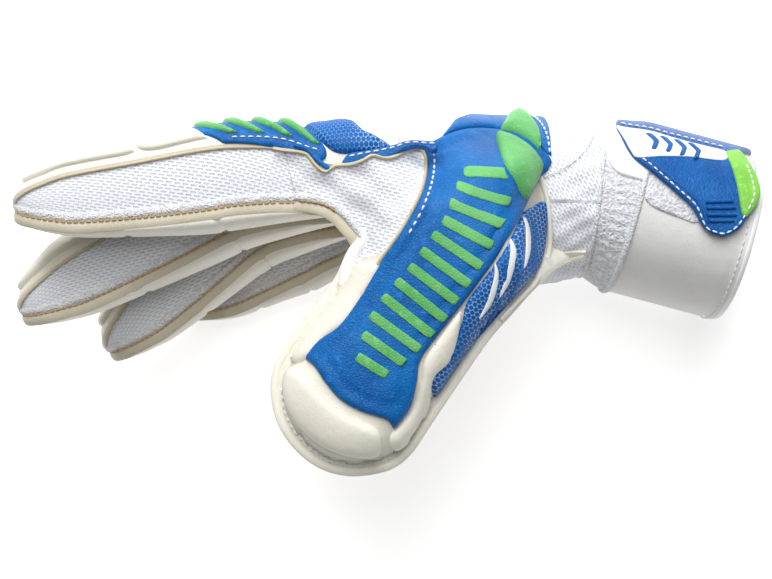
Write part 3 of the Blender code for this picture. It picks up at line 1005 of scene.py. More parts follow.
# the rest of the thumb side's border, and of the thumb's palm side, from the rim's end to its start
SIDE_BORDER = [(71.6, 13.2), (65.0, 13.2), (59.4, 12.6), (57.8, 18.0), (57.2, 33.0), (54.5, 44.0),
               (45.0, 54.5), (30.0, 55.0), (18.0, 51.0), (14.0, 46.0), (13.6, 38.0), (9.0, 26.0),
               (2.0, 14.0), (-5.0, 11.0)]
UNDER_BORDER = [(60.0, 15.0), (48.0, 18.0), (30.0, 22.0), (10.0, 26.0), (-4.0, 24.0)]
GROOVE_INSET = 4.6                    # the blue panel's pressed line, in from its edge
GROOVE_DEPTH = 0.8


def rim_outline(border):
    """The thumb's rim closed by a border."""
    line = np.array([THUMB_RIM[-1], *border, THUMB_RIM[0]])
    return np.vstack([RIM, resample(line, False, 2.0)[1:-1]])


def blue_relief(a, c):
    """A pressed line inside the blue panel's border."""
    gap = distance(np.column_stack([a, c]), BLUE_PANEL)
    return -GROOVE_DEPTH * np.exp(-((gap - GROOVE_INSET) / 0.8) ** 2)


def build_thumb():
    """The thumb, its blue panel, pads and rim."""
    whole, under = rim_outline(SIDE_BORDER), rim_outline(UNDER_BORDER)
    names = {"root": "base", "tip": "tip"}
    covered = {"root": ("thumb_root_panel", "thumb_blue_panel"), "tip": ()}
    for part, zone in thumb_zones():
        # the thumb side's base sheet takes the darker cream copy: painted shade in the channels
        # between the pads
        back = patch(f"thumb_{part}_back", THUMB_SIDE, whole, "channel_latex", zone, rise=0.0,
                     edge=1.0, lip=0.0, depth=2.0, cell=1.3)
        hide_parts(f"thumb_{names[part]}_back_panel")
        face = patch(f"thumb_{part}_palm", THUMB_PALM, under, "palm_latex", zone, rise=0.0,
                     edge=1.0, lip=0.0, depth=2.0, cell=2.0)
        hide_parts(f"thumb_{names[part]}_palm_latex")
        panel = patch(f"thumb_{part}_blue", THUMB_SIDE, BLUE_PANEL, "blue_latex", zone, rise=2.2,
                      lip=0.8, relief=blue_relief)
        for label, points in (("kidney", KIDNEY), ("right_strip", RIGHT_CREAM),
                              ("left_strip", LEFT_CREAM)):
            pad = patch(f"thumb_{part}_{label}", THUMB_SIDE, outline(points), "cream_latex", zone,
                        rise=2.4, edge=3.0, lip=0.2, cell=1.1)
        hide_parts(*covered[part])
        trim(f"thumb_{part}_rim", THUMB_SIDE, RIM, section(3.0, 2.2, 12, 3.0), "cream_latex", zone,
             lift=-0.8)
        sides = trim(f"thumb_{part}_gusset", THUMB_SIDE, RIM, section(2.4, 3.4, 12, 3.0),
                     "white_mesh", zone, lift=-3.4)
        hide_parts(f"thumb_{names[part]}_gusset_upper",
                    f"thumb_{names[part]}_gusset_lower")
        trim(f"thumb_{part}_palm_rim", THUMB_SIDE, RIM, section(3.0, 2.2, 12, 3.0), "edge_latex",
             zone, lift=-5.8)


# ------------------------------------------------------------------ web


LOCATE_LINES = 260                    # lines each way in the search for a place


def locate(surface, points, a_range, c_range):
    """Surface measures of points seen from straight above the thumb side."""
    lines = (np.linspace(*limits, LOCATE_LINES) for limits in (a_range, c_range))
    a, c = (m.ravel() for m in np.meshgrid(*lines))
    places = surface.place(a, c)[:, :2]
    found = []
    for point in np.asarray(points, float):
        k = ((places - point) ** 2).sum(1).argmin()
        found.append((a[k], c[k]))
    return found


WEB_TOP = [(-34.5, 48.0), (-31.0, 47.4), (-27.6, 46.4), (-25.8, 44.6), (-23.6, 42.2),
           (-20.6, 40.5), (-17.0, 42.4), (-11.5, 43.2), (-7.6, 44.2), (-4.6, 45.6), (-0.6, 44.8),
           (3.6, 46.2), (8.4, 48.7), (12.0, 48.2)]
WEB_RIGHT = [(13.6, 45.0), (13.4, 39.0), (11.9, 33.0), (8.8, 26.4), (4.8, 19.4), (-0.4, 11.6),
             (-4.4, 5.6)]
WEB_PALM = [(-9.0, 4.6), (-14.2, 6.0), (-10.6, 13.4), (-8.4, 18.0), (-10.6, 19.8), (-16.1, 26.4),
            (-21.3, 29.6), (-30.0, 31.0)]
WEB_EDGE = curve([(-16.0, 5.0), (-11.5, 13.4), (-9.0, 18.0), (-16.5, 26.0), (-21.3, 29.3),
                  (-36.0, 30.0)])
BLUE_EDGE = curve(BLUE_LEFT[:8])
WEB_LEVEL = 101.9
WEB_SINK = 0.7                        # how far the web's finger end drops into the finger's side


def web_height(x, y):
    """Height of the web between the finger seam and the thumb panel, with soft folds."""
    spots = np.column_stack([x, y])
    near = distance(spots, WEB_EDGE, False)
    far = distance(spots, BLUE_EDGE, False)
    share = ease(near / (near + far + TINY))
    fold = np.sin((x * 0.55 + y * 0.83) * 0.62 + 0.4) + 0.6 * np.sin((x * 0.2 - y * 0.6) * 0.8)
    calm = ease(np.minimum(near, far) / 7.0)
    level = WEB_LEVEL - WEB_SINK * (1.0 - ease((x + 37.0) / 12.0))
    return mix(level, side_height(x, y) - 0.6, share) + 0.55 * fold * calm


def dorsal_height(x, y):
    """Height beside the web's top edge, rolling over towards the back of the hand."""
    return 102.4 - 0.03 * np.maximum(y - 44.0, 0.0) ** 2


def shifted(line, gap):
    """A line moved sideways, to the right of its direction."""
    away = np.gradient(line, axis=0)
    return line + unit(np.column_stack([away[:, 1], -away[:, 0]])) * gap


WEB = raised_plan(web_height)


WEB_TAIL = [(-31.5, 49.4), (-27.2, 47.9), (-24.4, 45.2), (-21.6, 42.6), (-19.6, 41.4)]
WEB_SEAM = [(-9.0, 17.0), (-11.2, 20.4), (-16.1, 25.8), (-21.3, 29.0), (-26.5, 30.2),
            (-31.5, 30.6)]
WEB_FLAP = [(-15.0, 1.6), (-14.6, 6.6), (-12.2, 12.6), (-9.0, 17.4), (-9.6, 20.6)]
BAND_LOW = [(-15.6, 42.8), (-11.5, 43.4), (-7.6, 44.4), (-4.6, 45.8), (-0.6, 45.0), (3.6, 46.4),
            (8.4, 48.8), (12.4, 48.8), (17.0, 47.0)]
BAND_HIGH = [(18.0, 50.6), (14.2, 50.8), (8.0, 51.0), (2.6, 49.4), (-2.3, 48.4), (-8.2, 47.4),
             (-13.0, 46.4)]


def build_web(index):
    """The mesh web with its piping, binding and stitches."""
    along = np.array((*index.ways[0], 0.0))
    zone = Zone("hand", "index_base", index.knuckle - along * 8, index.knuckle + along * 8)
    line = outline(WEB_TOP, WEB_RIGHT, WEB_PALM)
    piece = patch("web_mesh", WEB, line, "white_mesh", zone, rise=0.0, edge=1.0, lip=0.0, base=0.3,
                  depth=1.2, cell=1.5, turn=math.radians(14))
    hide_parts("thumb_web_gusset")
    top = curve([(-38.5, 48.6)] + WEB_TOP + WEB_RIGHT)
    trim("web_piping", WEB, top, section(1.3, 1.5), "tan_piping", zone, lift=0.7)
    trim("web_blue_tail", WEB, curve(WEB_TAIL), section(1.8, 1.6), "blue_latex", zone, lift=0.7)
    seam = curve(WEB_SEAM)
    trim("web_binding", WEB, shifted(seam, 1.2), section(2.6, 1.8), "white_binding", zone,
         lift=0.4)
    trim("web_flap_binding", WEB, shifted(curve(WEB_FLAP), 0.9), section(4.4, 2.2), "white_latex",
         zone, lift=0.2)
    stitches("web_thread", WEB, seam[seam[:, 0] < -17.0], "gold_thread", zone, lift=1.0, **FINE)
    trim("web_palm_edge", WEB, shifted(seam, -1.9), section(3.8, 2.4, 12, 4.0), "edge_latex", zone,
         lift=-0.7)
    level = raised_plan(dorsal_height)
    patch("web_blue_band", level, outline(BAND_LOW, BAND_HIGH), "blue_latex", zone, rise=0.9,
          edge=0.9, lip=0.4, base=0.2, depth=2.6, cell=1.2)
    stitches("web_band_stitches", level, curve(BAND_HIGH[::-1]) - np.array((0.0, 0.9)),
             "white_thread", zone, lift=1.2, pitch=2.8, thick=0.6)


# ------------------------------------------------------------------ hand


def hand_place(a, c):
    """The hand's shell: a from the knuckle edge, c round it from the thumb side."""
    f = a / HAND_LENGTH
    power, middle_z, half_z, middle_y, half_y, tilt = hand_section(f)
    angle = c / HAND_RADIUS
    cos, sin = np.cos(angle), np.sin(angle)
    scale = (np.abs(cos) ** power + np.abs(sin) ** power) ** (-1 / power)
    across = cos * scale * half_z
    z = np.maximum(middle_z + across, 0.3)
    front = mix(HAND_FRONT[1], HAND_FRONT[0], np.clip(z / 101.0, 0.0, 1.0))
    y = middle_y + sin * scale * half_y + tilt * across
    return np.column_stack([mix(front, HAND_REAR, f), y, z])


HAND = Surface(hand_place, 1.0)
REST = Zone("hand")
# the main blue panel: seen from above the thumb side, then (along, degrees round the hand)
FRONT_BLUE = [(19.0, 52.8), (22.4, 57.2), (24.6, 59.8), (29.6, 61.6)]
SIDE_BLUE = [(58.8, 46.0), (53.0, 51.6), (45.4, 55.6), (37.9, 56.6), (32.7, 56.8), (25.8, 55.8)]
BACK_BLUE = [(34.0, 88), (30.0, 104), (33.0, 122), (40.0, 140), (48.0, 148)]
UPPER_LEAF = [(40.4, 55.4), (42.0, 58.6), (45.4, 61.4), (49.6, 61.6), (52.3, 58.9), (54.2, 53.8),
              (53.9, 47.9), (50.5, 51.4), (45.8, 54.0)]
LOWER_LEAF = ([(46.0, 30.4), (42.6, 36.4), (39.6, 43.6), (38.2, 52.6)],
              [(40.0, 53.6), (44.5, 51.9), (50.0, 48.0)], [(53.8, 42.8), (50.4, 37.0)])


def round_hand(degrees):
    """Surface measure round the hand at an angle."""
    return math.radians(degrees) * HAND_RADIUS


def front_step(a, c):
    """The hand's shell is lower where the fingers' own backs lie over it."""
    return 3.0 * ease((a - 4.0) / 14.0) - 3.2


BACK_TURN = (3.0, 154.0)              # degrees round the hand that the back covers
PALM_TURN = (206.0, 352.0)
TOP_HALF = (0.0, round_hand(88))      # the part of the shell seen from above the thumb side
BLUE_REAR = HAND_LENGTH + 4.2         # the main panel laps over the sleeve
# degrees of the middle and of half the width of each knuckle pad
KNUCKLE_PADS = {"middle": (84.0, 7.5), "ring": (105.0, 8.5), "little": (129.0, 8.5)}


def knuckle_pads():
    """A honeycomb pad and a short ridge behind each of three knuckles."""
    for label, (middle, half) in KNUCKLE_PADS.items():
        low, high = round_hand(middle - half), round_hand(middle + half)
        centre = (low + high) / 2
        shape = outline([(9.5, centre), (13.0, high), (21.0, high - 1.5)],
                        [(27.0, centre), (21.0, low + 1.5), (13.0, low)])
        pad = patch(f"knuckle_pad_{label}", HAND, shape, "hexagon_latex", REST, rise=1.4, edge=4.0,
                    lip=0.2, depth=1.6, relief=front_step)
        ridge = curve([(42.0, centre), (52.0, mix(centre, round_hand(95), 0.3)),
                       (62.0, mix(centre, round_hand(95), 0.5))])
        trim(f"back_ridge_{label}", HAND, ridge, section(2.6, 1.2), "blue_latex", REST, lift=1.9)


def build_hand_back():
    """Cream back with the blue main panel, knuckle pads and the green leaves."""
    back = grid("hand_back", HAND, (HAND_START, HAND_LENGTH), [round_hand(d) for d in BACK_TURN],
                "cream_latex", REST, cell=1.8, relief=front_step)
    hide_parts("hand_back_panel")
    front = locate(HAND, FRONT_BLUE, (0.0, HAND_LENGTH), TOP_HALF)
    front += [(a, round_hand(degrees)) for a, degrees in BACK_BLUE]
    rear = [(BLUE_REAR, round_hand(degrees)) for degrees in (146, 90, 60)]
    side = locate(HAND, SIDE_BLUE, (0.0, HAND_LENGTH + 5), TOP_HALF)
    panel = patch("hand_back_blue", HAND, outline(front, rear, side), "blue_latex", REST, rise=2.0,
                  edge=2.2, lip=0.6)
    leaf = outline(locate(HAND, UPPER_LEAF, (0.0, HAND_LENGTH), TOP_HALF))
    pad = patch("green_leaf_upper", HAND, leaf, "green_latex", REST, rise=4.0, edge=4.5, lip=0.2,
                base=1.6, cell=1.2)
    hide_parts("green_pad_upper")
    pad = patch("green_leaf_lower", THUMB_SIDE, outline(*LOWER_LEAF), "green_latex", REST,
                rise=3.6, edge=4.5, lip=0.2, base=1.8, cell=1.2)
    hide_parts("green_pad_lower")
    knuckle_pads()


def palm_creases(a, c):
    """Two pressed flex lines across the palm and one round the ball of the thumb."""
    angle = c / HAND_RADIUS
    across = a - 13.0 - 7.0 * np.sin(angle * 1.3)
    lower = a - 27.0 - 9.0 * np.sin(angle * 1.1 + 0.6)
    ball = a - 46.0 + 16.0 * np.cos(angle * 1.2 - 6.4)
    return sum(-0.9 * np.exp(-(gap / 1.1) ** 2) for gap in (across, lower, ball))


def gusset_sink(a, c):
    """The little-finger side's mesh is thinner than the panels beside it."""
    return a * 0 - 0.8


def across_line(a, c):
    """A line round a shell at one distance along it."""
    return np.column_stack([np.full(len(c), a), c])


def build_hand_palm():
    """Palm latex and the little-finger side."""
    palm = grid("hand_palm", HAND, (0.0, HAND_LENGTH), [round_hand(d) for d in PALM_TURN],
                "palm_latex", REST, cell=1.2, relief=palm_creases)
    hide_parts("hand_palm_latex")
    side = grid("hand_little_side", HAND, (0.0, HAND_LENGTH),
                (round_hand(BACK_TURN[1]), round_hand(PALM_TURN[0])), "white_mesh", REST,
                depth=1.4, cell=2.0, relief=gusset_sink)
    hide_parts("little_side_gusset")
    for label, degrees, look in (("back", BACK_TURN[1], "tan_piping"),
                                 ("palm", PALM_TURN[0], "white_binding")):
        along = np.arange(0.0, HAND_LENGTH, 1.5)
        line = np.column_stack([along, np.full(len(along), round_hand(degrees))])
        trim(f"little_side_{label}_trim", HAND, line, section(1.6, 1.6), look, REST)
    width = np.linspace(round_hand(PALM_TURN[0]), round_hand(340), 90)
    trim("palm_front_edge", HAND, across_line(0.2, width), section(3.0, 3.0, 12, 3.0),
         "edge_latex", REST, lift=-1.4)
    hem = across_line(HAND_LENGTH - 0.6, width)
    trim("palm_hem", HAND, hem, section(3.0, 2.0), "palm_latex", REST)
    stitches("palm_hem_stitches", HAND, hem - np.array((3.0, 0.0)), "gold_thread", REST, lift=0.2)


SIDE_TOP = [(47.4, 26.8), (39.4, 12.1), (33.0, 3.4)]
SIDE_INNER = [(33.0, 3.4), (27.4, -4.4), (25.6, -12.0), (22.0, -20.4), (18.4, -25.2),
              (15.4, -32.0)]
SIDE_OUTER = [(16.6, -37.6), (24.0, -26.6), (31.0, -17.8), (39.0, -8.6), (46.0, -0.6), (51.6, 5.6),
              (54.8, 11.6), (56.4, 21.0), (56.2, 31.0)]
SIDE_SLITS = (
    [(46.4, 24.6), (47.4, 20.0), (47.2, 13.0), (45.6, 7.0)],
    [(41.6, 16.8), (42.4, 12.0), (41.0, 4.6), (37.8, -2.2)],
    [(36.6, 9.6), (37.0, 5.0), (34.8, -3.0), (30.8, -9.6)],
)
SLIT_HALF_WIDTH = 0.9


def build_side_panel():
    """The honeycomb panel behind the thumb, its slits, its ridges and its piping."""
    line = outline(SIDE_TOP, SIDE_INNER, SIDE_OUTER)
    replaced = {"root": "thumb_side_panel", "tip": None}
    for part, zone in thumb_zones():
        piece = patch(f"side_panel_{part}", THUMB_SIDE, line, "hexagon_latex", zone, rise=1.6,
                      lip=0.5, turn=math.radians(-40))
        if piece:
            if replaced[part]:
                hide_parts(replaced[part])
    root = thumb_zones()[0][1]
    for i, slit in enumerate(SIDE_SLITS):
        middle = curve(slit)
        share = np.linspace(0.0, 1.0, len(middle))[:, None]
        taper = np.array((SLIT_HALF_WIDTH, 0.0)) * np.sin(share * math.pi) ** 0.6
        blade = np.vstack([middle - taper, (middle + taper)[::-1]])
        patch(f"side_slit_{i + 1}", THUMB_SIDE, blade, "white_latex", root, rise=0.5, edge=0.8,
              lip=0.2, base=1.6, cell=0.9)
        trim(f"side_ridge_{i + 1}", THUMB_SIDE, middle + np.array((3.2, -0.8)), section(1.0, 0.8),
             "hexagon_latex", root, lift=1.6)
    edge = curve([(53.6, 39.6), (56.4, 33.0), (57.6, 22.0), (56.6, 11.6), (52.6, 4.0),
                  (46.6, -2.4), (39.6, -10.4)])
    trim("side_piping", THUMB_SIDE, edge, section(1.8, 2.0), "cream_latex", root, lift=0.8)


# ------------------------------------------------------------------ print and stitches

BAR_SPINE = [(34.0, 42.0), (33.0, 33.0), (27.5, 19.0), (17.0, 3.5), (4.5, -12.5), (-5.5, -27.0),
             (-10.0, -37.0)]
BAR_HALF_LENGTHS = (6.5, 8.5, 9.5, 9.5, 10.0, 10.0, 10.0, 10.5, 10.5, 10.0, 8.5, 6.0)
BAR_WIDTH = 3.4
BAR_PITCH = 6.9


def build_bars():
    """Plain green bars across the thumb panel."""
    spine = curve(BAR_SPINE)
    reach = reach_along(spine)
    tangent = np.gradient(spine, axis=0)
    for i, half in enumerate(BAR_HALF_LENGTHS):
        at = (i + 0.5) * BAR_PITCH
        centre = np.array([np.interp(at, reach, spine[:, k]) for k in range(2)])
        way = np.array([np.interp(at, reach, tangent[:, k]) for k in range(2)])
        way /= np.linalg.norm(way)
        side = np.array((way[1], -way[0]))
        corners = [centre + way * p * BAR_WIDTH / 2 + side * q * half
                   for p, q in ((-1, -1), (1, -1), (1, 1), (-1, 1))]
        line = resample(np.array(corners), True, 0.8)
        for part, zone in thumb_zones():
            patch(f"bar_{i + 1}_{part}", THUMB_SIDE, line, "green_latex", zone, rise=0.5, edge=0.5,
                  lip=0.25, base=2.1, depth=0.6, cell=1.2)


def build_side_stitches():
    """White stitches beside the web, the leaves and round the thumb's flange."""
    left = shifted(curve(BLUE_LEFT[:6]), -2.4)
    flange = shifted(curve(THUMB_RIM[6:17]), -2.3)
    for part, zone in thumb_zones():
        stitches(f"border_{part}_stitches", THUMB_SIDE, left, "white_thread", zone, lift=2.2)
        stitches(f"flange_{part}_stitches", THUMB_SIDE, flange, "white_thread", zone, lift=0.2,
                 pitch=2.6, size=1.8, thick=0.6)
    edge = locate(HAND, [(52.6, 62.0), (55.8, 57.6), (57.2, 52.4), (57.3, 46.4)],
                  (0.0, HAND_LENGTH + 5), TOP_HALF)
    stitches("leaf_stitches", HAND, curve(edge), "white_thread", REST, lift=2.2)


# ------------------------------------------------------------------ wrist, cuff and strap

WRIST_RADIUS = 36.0                   # millimetres of surface measure per radian round the wrist
SLEEVE_LENGTH = 21.5
BAND_LENGTH = 10.0
STRAP_SINK = 2.0                      # how far the strap's corner over the wrist is drawn in


def oval(angle, half_z, half_y, power=2.3):
    """A rounded section's (z, y) offsets; the angle starts on the thumb side."""
    c, s = np.cos(angle), np.sin(angle)
    scale = (np.abs(c) ** power + np.abs(s) ** power) ** (-1 / power)
    return c * scale * half_z, s * scale * half_y


def sleeve_place(a, c):
    """The wrist sleeve: a from the hand, c round it; the palm side is drawn in."""
    f = a / SLEEVE_LENGTH
    angle = c / WRIST_RADIUS
    dz, dy = oval(angle, 41.0 - f, 30.5)
    dy = np.where(dy < 0, dy * mix(1.0, 0.86, np.clip(f, 0, 1)), dy)
    edge = WRIST_REAR - dy * math.tan(CUFF_TILT / 2)
    return np.column_stack([mix(HAND_REAR, edge, f), mix(32.0, 31.5, f) + dy,
                            np.maximum(40.0 + dz, 0.4)])


def cuff_place(a, c):
    """The cuff: a along the forearm from the wrist hinge, c round it."""
    dz, dy = oval(c / WRIST_RADIUS, CUFF_HALF_WIDTH + 1.5, CUFF_HALF_HEIGHT)
    along = (math.cos(CUFF_TILT), math.sin(CUFF_TILT))
    return np.column_stack([WRIST_HINGE[0] + along[0] * a - along[1] * dy,
                            WRIST_HINGE[1] + along[1] * a + along[0] * dy,
                            np.maximum(CUFF_HALF_WIDTH + 0.5 + dz, 0.2)])


def band_place(a, c):
    """The elastic band between the sleeve and the cuff."""
    share = np.clip(a / BAND_LENGTH, -0.2, 1.2)[:, None]
    first = sleeve_place(a * 0 + SLEEVE_LENGTH, c)
    last = cuff_place(a * 0 + CUFF_START, c)
    return mix(first, last, share)


def strap_place(a, c):
    """The cuff's surface, drawn in where the strap reaches over the wrist."""
    return CUFF.raised(a, c, -STRAP_SINK * (1.0 - ease((a + 6.0) / 14.0)))


SLEEVE = Surface(sleeve_place, 1.0)
CUFF = Surface(cuff_place, 1.0)
BAND = Surface(band_place, 1.0)
STRAP = Surface(strap_place, 1.0)
STRAP_FACE = Surface(lambda a, c: STRAP.raised(a, c, STRAP_TALL), 1.0)
CUFF_ZONE = Zone("cuff")
STRAP_ZONE = Zone("strap")
TURN = math.tau * WRIST_RADIUS


def round_wrist(degrees):
    """Surface measure round the wrist or cuff at an angle."""
    return math.radians(degrees) * WRIST_RADIUS


def sleeve_folds(a, c):
    """Soft folds, deeper towards the band."""
    return (0.5 * np.sin(c * 0.33 + a * 0.25) + 0.3 * np.sin(c * 0.71 - a * 0.5)) * ease(a / 9)


def band_gathers(a, c):
    """Gathers across the elastic, flat at its two edges."""
    return 0.4 * np.sin(c * 1.5) * np.sin(np.clip(a / BAND_LENGTH, 0, 1) * math.pi)


def cuff_groove(a, c):
    """The pressed line beside the cuff's rim."""
    return -0.5 * np.exp(-((a - CUFF_END + 3.4) / 0.5) ** 2)


def build_wrist():
    """Mesh sleeve and elastic band."""
    sleeve = grid("wrist_sleeve", SLEEVE, (-1.0, SLEEVE_LENGTH), (0.0, TURN), "white_mesh", REST,
                  depth=1.6, cell=1.6, relief=sleeve_folds, ring=True, turn=math.radians(60))
    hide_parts("wrist_mesh_sleeve")
    seam = across_line(SLEEVE_LENGTH - 1.0, np.linspace(0, TURN, 150))
    trim("wrist_seam", SLEEVE, seam, section(1.6, 1.4), "white_binding", REST, lift=0.2)
    fold = curve([(0.6, round_wrist(14)), (7.0, round_wrist(20)), (13.0, round_wrist(30)),
                  (17.0, round_wrist(48)), (18.5, round_wrist(80))])
    stitches("wrist_stitches", SLEEVE, fold, "white_thread", REST, lift=0.8, pitch=2.4, thick=0.6)
    zone = Zone("hand", "cuff", (77.0, 31.5, 40.0), (88.5, 29.5, 40.0))
    band = grid("elastic_band", BAND, (-0.6, BAND_LENGTH), (0.0, TURN), "white_terry", zone,
                depth=1.6, cell=1.2, relief=band_gathers, ring=True)
    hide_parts("wrist_elastic_band")
    tape = outline([(-0.4, round_wrist(152)), (-0.4, round_wrist(34))],
                   [(BAND_LENGTH + 0.8, round_wrist(16))], [(BAND_LENGTH + 0.8, round_wrist(152))])
    patch("wrist_tape", BAND, tape, "white_latex", zone, rise=1.2, edge=1.0, lip=0.4, depth=0.6,
          cell=1.8)


STRAP_LEFT = [(82.8, 61.0), (84.6, 55.3), (86.6, 49.6), (89.4, 46.0), (95.0, 41.4),
              (102.4, 34.4), (108.2, 28.6), (111.4, 22.2)]
STRAP_END = [(114.4, 19.4), (119.0, 18.4), (124.0, 21.0), (127.0, 24.6)]
STRAP_RIGHT = [(130.4, 29.2), (132.4, 33.6), (132.2, 38.6), (130.8, 43.9), (129.4, 47.8),
               (128.2, 49.9)]
WHITE_LEFT = [(83.4, 59.2), (84.9, 55.0), (86.9, 49.6), (89.4, 46.9)]
WHITE_LOWER = [(98.0, 47.2), (108.0, 47.2), (121.0, 46.2)]
WHITE_UPPER = [(122.0, 49.8), (104.0, 54.2)]
GREEN_INNER = [(121.6, 49.4), (124.0, 38.0), (125.6, 25.6)]
GREEN_OUTER = [(130.3, 29.3), (132.2, 33.7), (132.0, 38.6), (130.6, 43.8), (129.1, 47.7)]
GREEN_TOP = [(127.4, 50.4)]
GREEN_SEAM = [(127.2, 27.6), (129.6, 32.4), (129.6, 38.2), (127.8, 45.0)]
TOP_SEAM = [(84.8, 60.4), (98.0, 57.4), (110.0, 54.4), (124.0, 50.8)]
BORDER_SEAM = [(90.6, 46.6), (95.6, 42.4), (103.0, 35.4), (109.2, 29.4), (112.4, 22.4),
               (115.0, 20.6), (119.0, 19.8), (123.4, 22.2), (127.4, 28.0), (130.0, 33.6),
               (129.8, 38.8), (127.6, 46.6)]
GROOVE = [(92.0, 46.6), (97.0, 42.6), (104.2, 36.4), (110.4, 30.2), (113.0, 23.6)]
GRIP_RIBS = (
    [(112.4, 31.0), (122.4, 31.2)], [(112.6, 28.8), (123.0, 28.8)],
    [(113.0, 26.4), (123.2, 26.4)], [(113.8, 24.2), (122.4, 24.2)],
)
CHEVRON_CORNERS = ((93.0, 55.6), (98.0, 54.6), (103.0, 53.4), (108.0, 52.2))
CHEVRON = [(0.0, 0.0), (2.6, -3.0), (1.0, -6.0), (3.0, -6.0), (4.6, -3.0), (2.0, 0.0)]
STRAP_OVER = 97.0                     # degrees round the cuff where the strap is sewn down
STRAP_TALL = 3.6                      # height of the strap's face over the cuff


def strap_outline(points):
    """Strap measures of points seen from above the thumb side."""
    return locate(STRAP_FACE, points, (-6.5, 60.0), (round_wrist(-10), round_wrist(88)))


def build_cuff():
    """The latex cuff, the loop field under the strap and the strap's sewn end."""
    # the cuff's sheet uses the grey copy of the white latex: painted shade
    sleeve = grid("cuff_latex", CUFF, (CUFF_START, CUFF_END), (0.0, TURN), "cuff_latex", CUFF_ZONE,
                  depth=2.4, cell=1.6, relief=cuff_groove, ring=True)
    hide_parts("cuff_sleeve")
    rim = across_line(CUFF_END - 0.2, np.linspace(0, TURN, 170))
    trim("cuff_rim", CUFF, rim, section(2.8, 2.4), "white_latex", CUFF_ZONE, lift=-1.0)
    front = rim + np.array((CUFF_START - CUFF_END + 0.6, 0.0))
    trim("cuff_front_binding", CUFF, front, section(2.2, 2.0), "white_binding", CUFF_ZONE,
         lift=0.2)
    stitches("cuff_rim_stitches", CUFF, rim + np.array((-2.2, 0.0)), "white_thread", CUFF_ZONE,
             lift=0.2, pitch=2.6, thick=0.5)
    loops = patch("loop_field", CUFF, outline( [(8.6, round_wrist(100)), (8.6, round_wrist(20)),
                  (10.0, round_wrist(4))], [(27.0, round_wrist(-1)), (44.0, round_wrist(16))],
                  [(45.0, round_wrist(100))]), "white_terry", CUFF_ZONE, rise=0.9, edge=1.2)
    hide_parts("loop_field")
    anchor = patch("strap_anchor", CUFF, outline( [(9.0, round_wrist(99)), (45.0,
                   round_wrist(99))], [(44.0, round_wrist(138)), (36.0, round_wrist(145)), (18.0,
                   round_wrist(145)), (10.0, round_wrist(138))]), "white_latex", CUFF_ZONE,
                   rise=2.6, lip=0.8)
    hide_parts("strap_anchor")


def strap_stitches(name, points, lift):
    """White stitches on the strap's face, along points seen from above the thumb side."""
    stitches(name, STRAP, curve(strap_outline(points)), "white_thread", STRAP_ZONE, lift=lift,
             pitch=2.6, thick=0.6)


def build_strap():
    """The closing strap: white and blue face, green end, moulded grip and stitches."""
    over = round_wrist(STRAP_OVER)
    left, end, right = (strap_outline(p) for p in (STRAP_LEFT, STRAP_END, STRAP_RIGHT))
    line = outline([(-4.0, over)] + left, end, right + [(44.5, over)])
    flap = patch("strap_flap", STRAP, line, "blue_rubber", STRAP_ZONE, rise=STRAP_TALL, edge=1.6,
                 lip=2.6, depth=-1.7, cell=1.5)
    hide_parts("strap_flap")
    under = patch("strap_hook", STRAP, line, "white_hook", STRAP_ZONE, rise=1.7, edge=1.0, lip=1.2,
                  depth=-0.7)
    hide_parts("strap_hook_patch")
    strap_stitches("strap_top_stitches", TOP_SEAM, 3.8)
    face = outline(*(strap_outline(points) for points in (WHITE_LEFT, WHITE_LOWER, WHITE_UPPER)))
    patch("strap_white_face", STRAP, face, "white_latex", STRAP_ZONE, rise=0.5, edge=0.8, base=3.5,
          depth=0.6, cell=1.5)
    green = outline(*(strap_outline(points) for points in (GREEN_INNER, GREEN_OUTER, GREEN_TOP)))
    pad = patch("strap_green_end", STRAP, green, "green_rubber", STRAP_ZONE, rise=1.2, edge=1.6,
                base=3.4, depth=0.6, cell=1.3)
    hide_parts("strap_grip")
    strap_stitches("strap_green_stitches", GREEN_SEAM, 4.6)
    for i, rib in enumerate(GRIP_RIBS):
        trim(f"strap_rib_{i + 1}", STRAP, curve(strap_outline(rib)), section(1.7, 1.8),
             "blue_rubber", STRAP_ZONE, lift=3.7)
    trim("strap_groove", STRAP, curve(strap_outline(GROOVE)), section(1.6, 1.2), "blue_rubber",
         STRAP_ZONE, lift=3.5)
    strap_stitches("strap_stitches", BORDER_SEAM, 3.8)
    for i, (x, y) in enumerate(CHEVRON_CORNERS):
        chevron = np.array(strap_outline([(x + across, y + up) for across, up in CHEVRON]))
        patch(f"strap_chevron_{i + 1}", STRAP, resample(chevron, True, 0.6), "blue_rubber",
              STRAP_ZONE, rise=0.4, edge=0.4, lip=0.2, base=4.0, depth=0.4, cell=1.0)


# ------------------------------------------------------------------ finger backs

RIB_COUNT = 4
RIB_PITCH = 9.3
RIB_HALF_WIDTH = 2.5


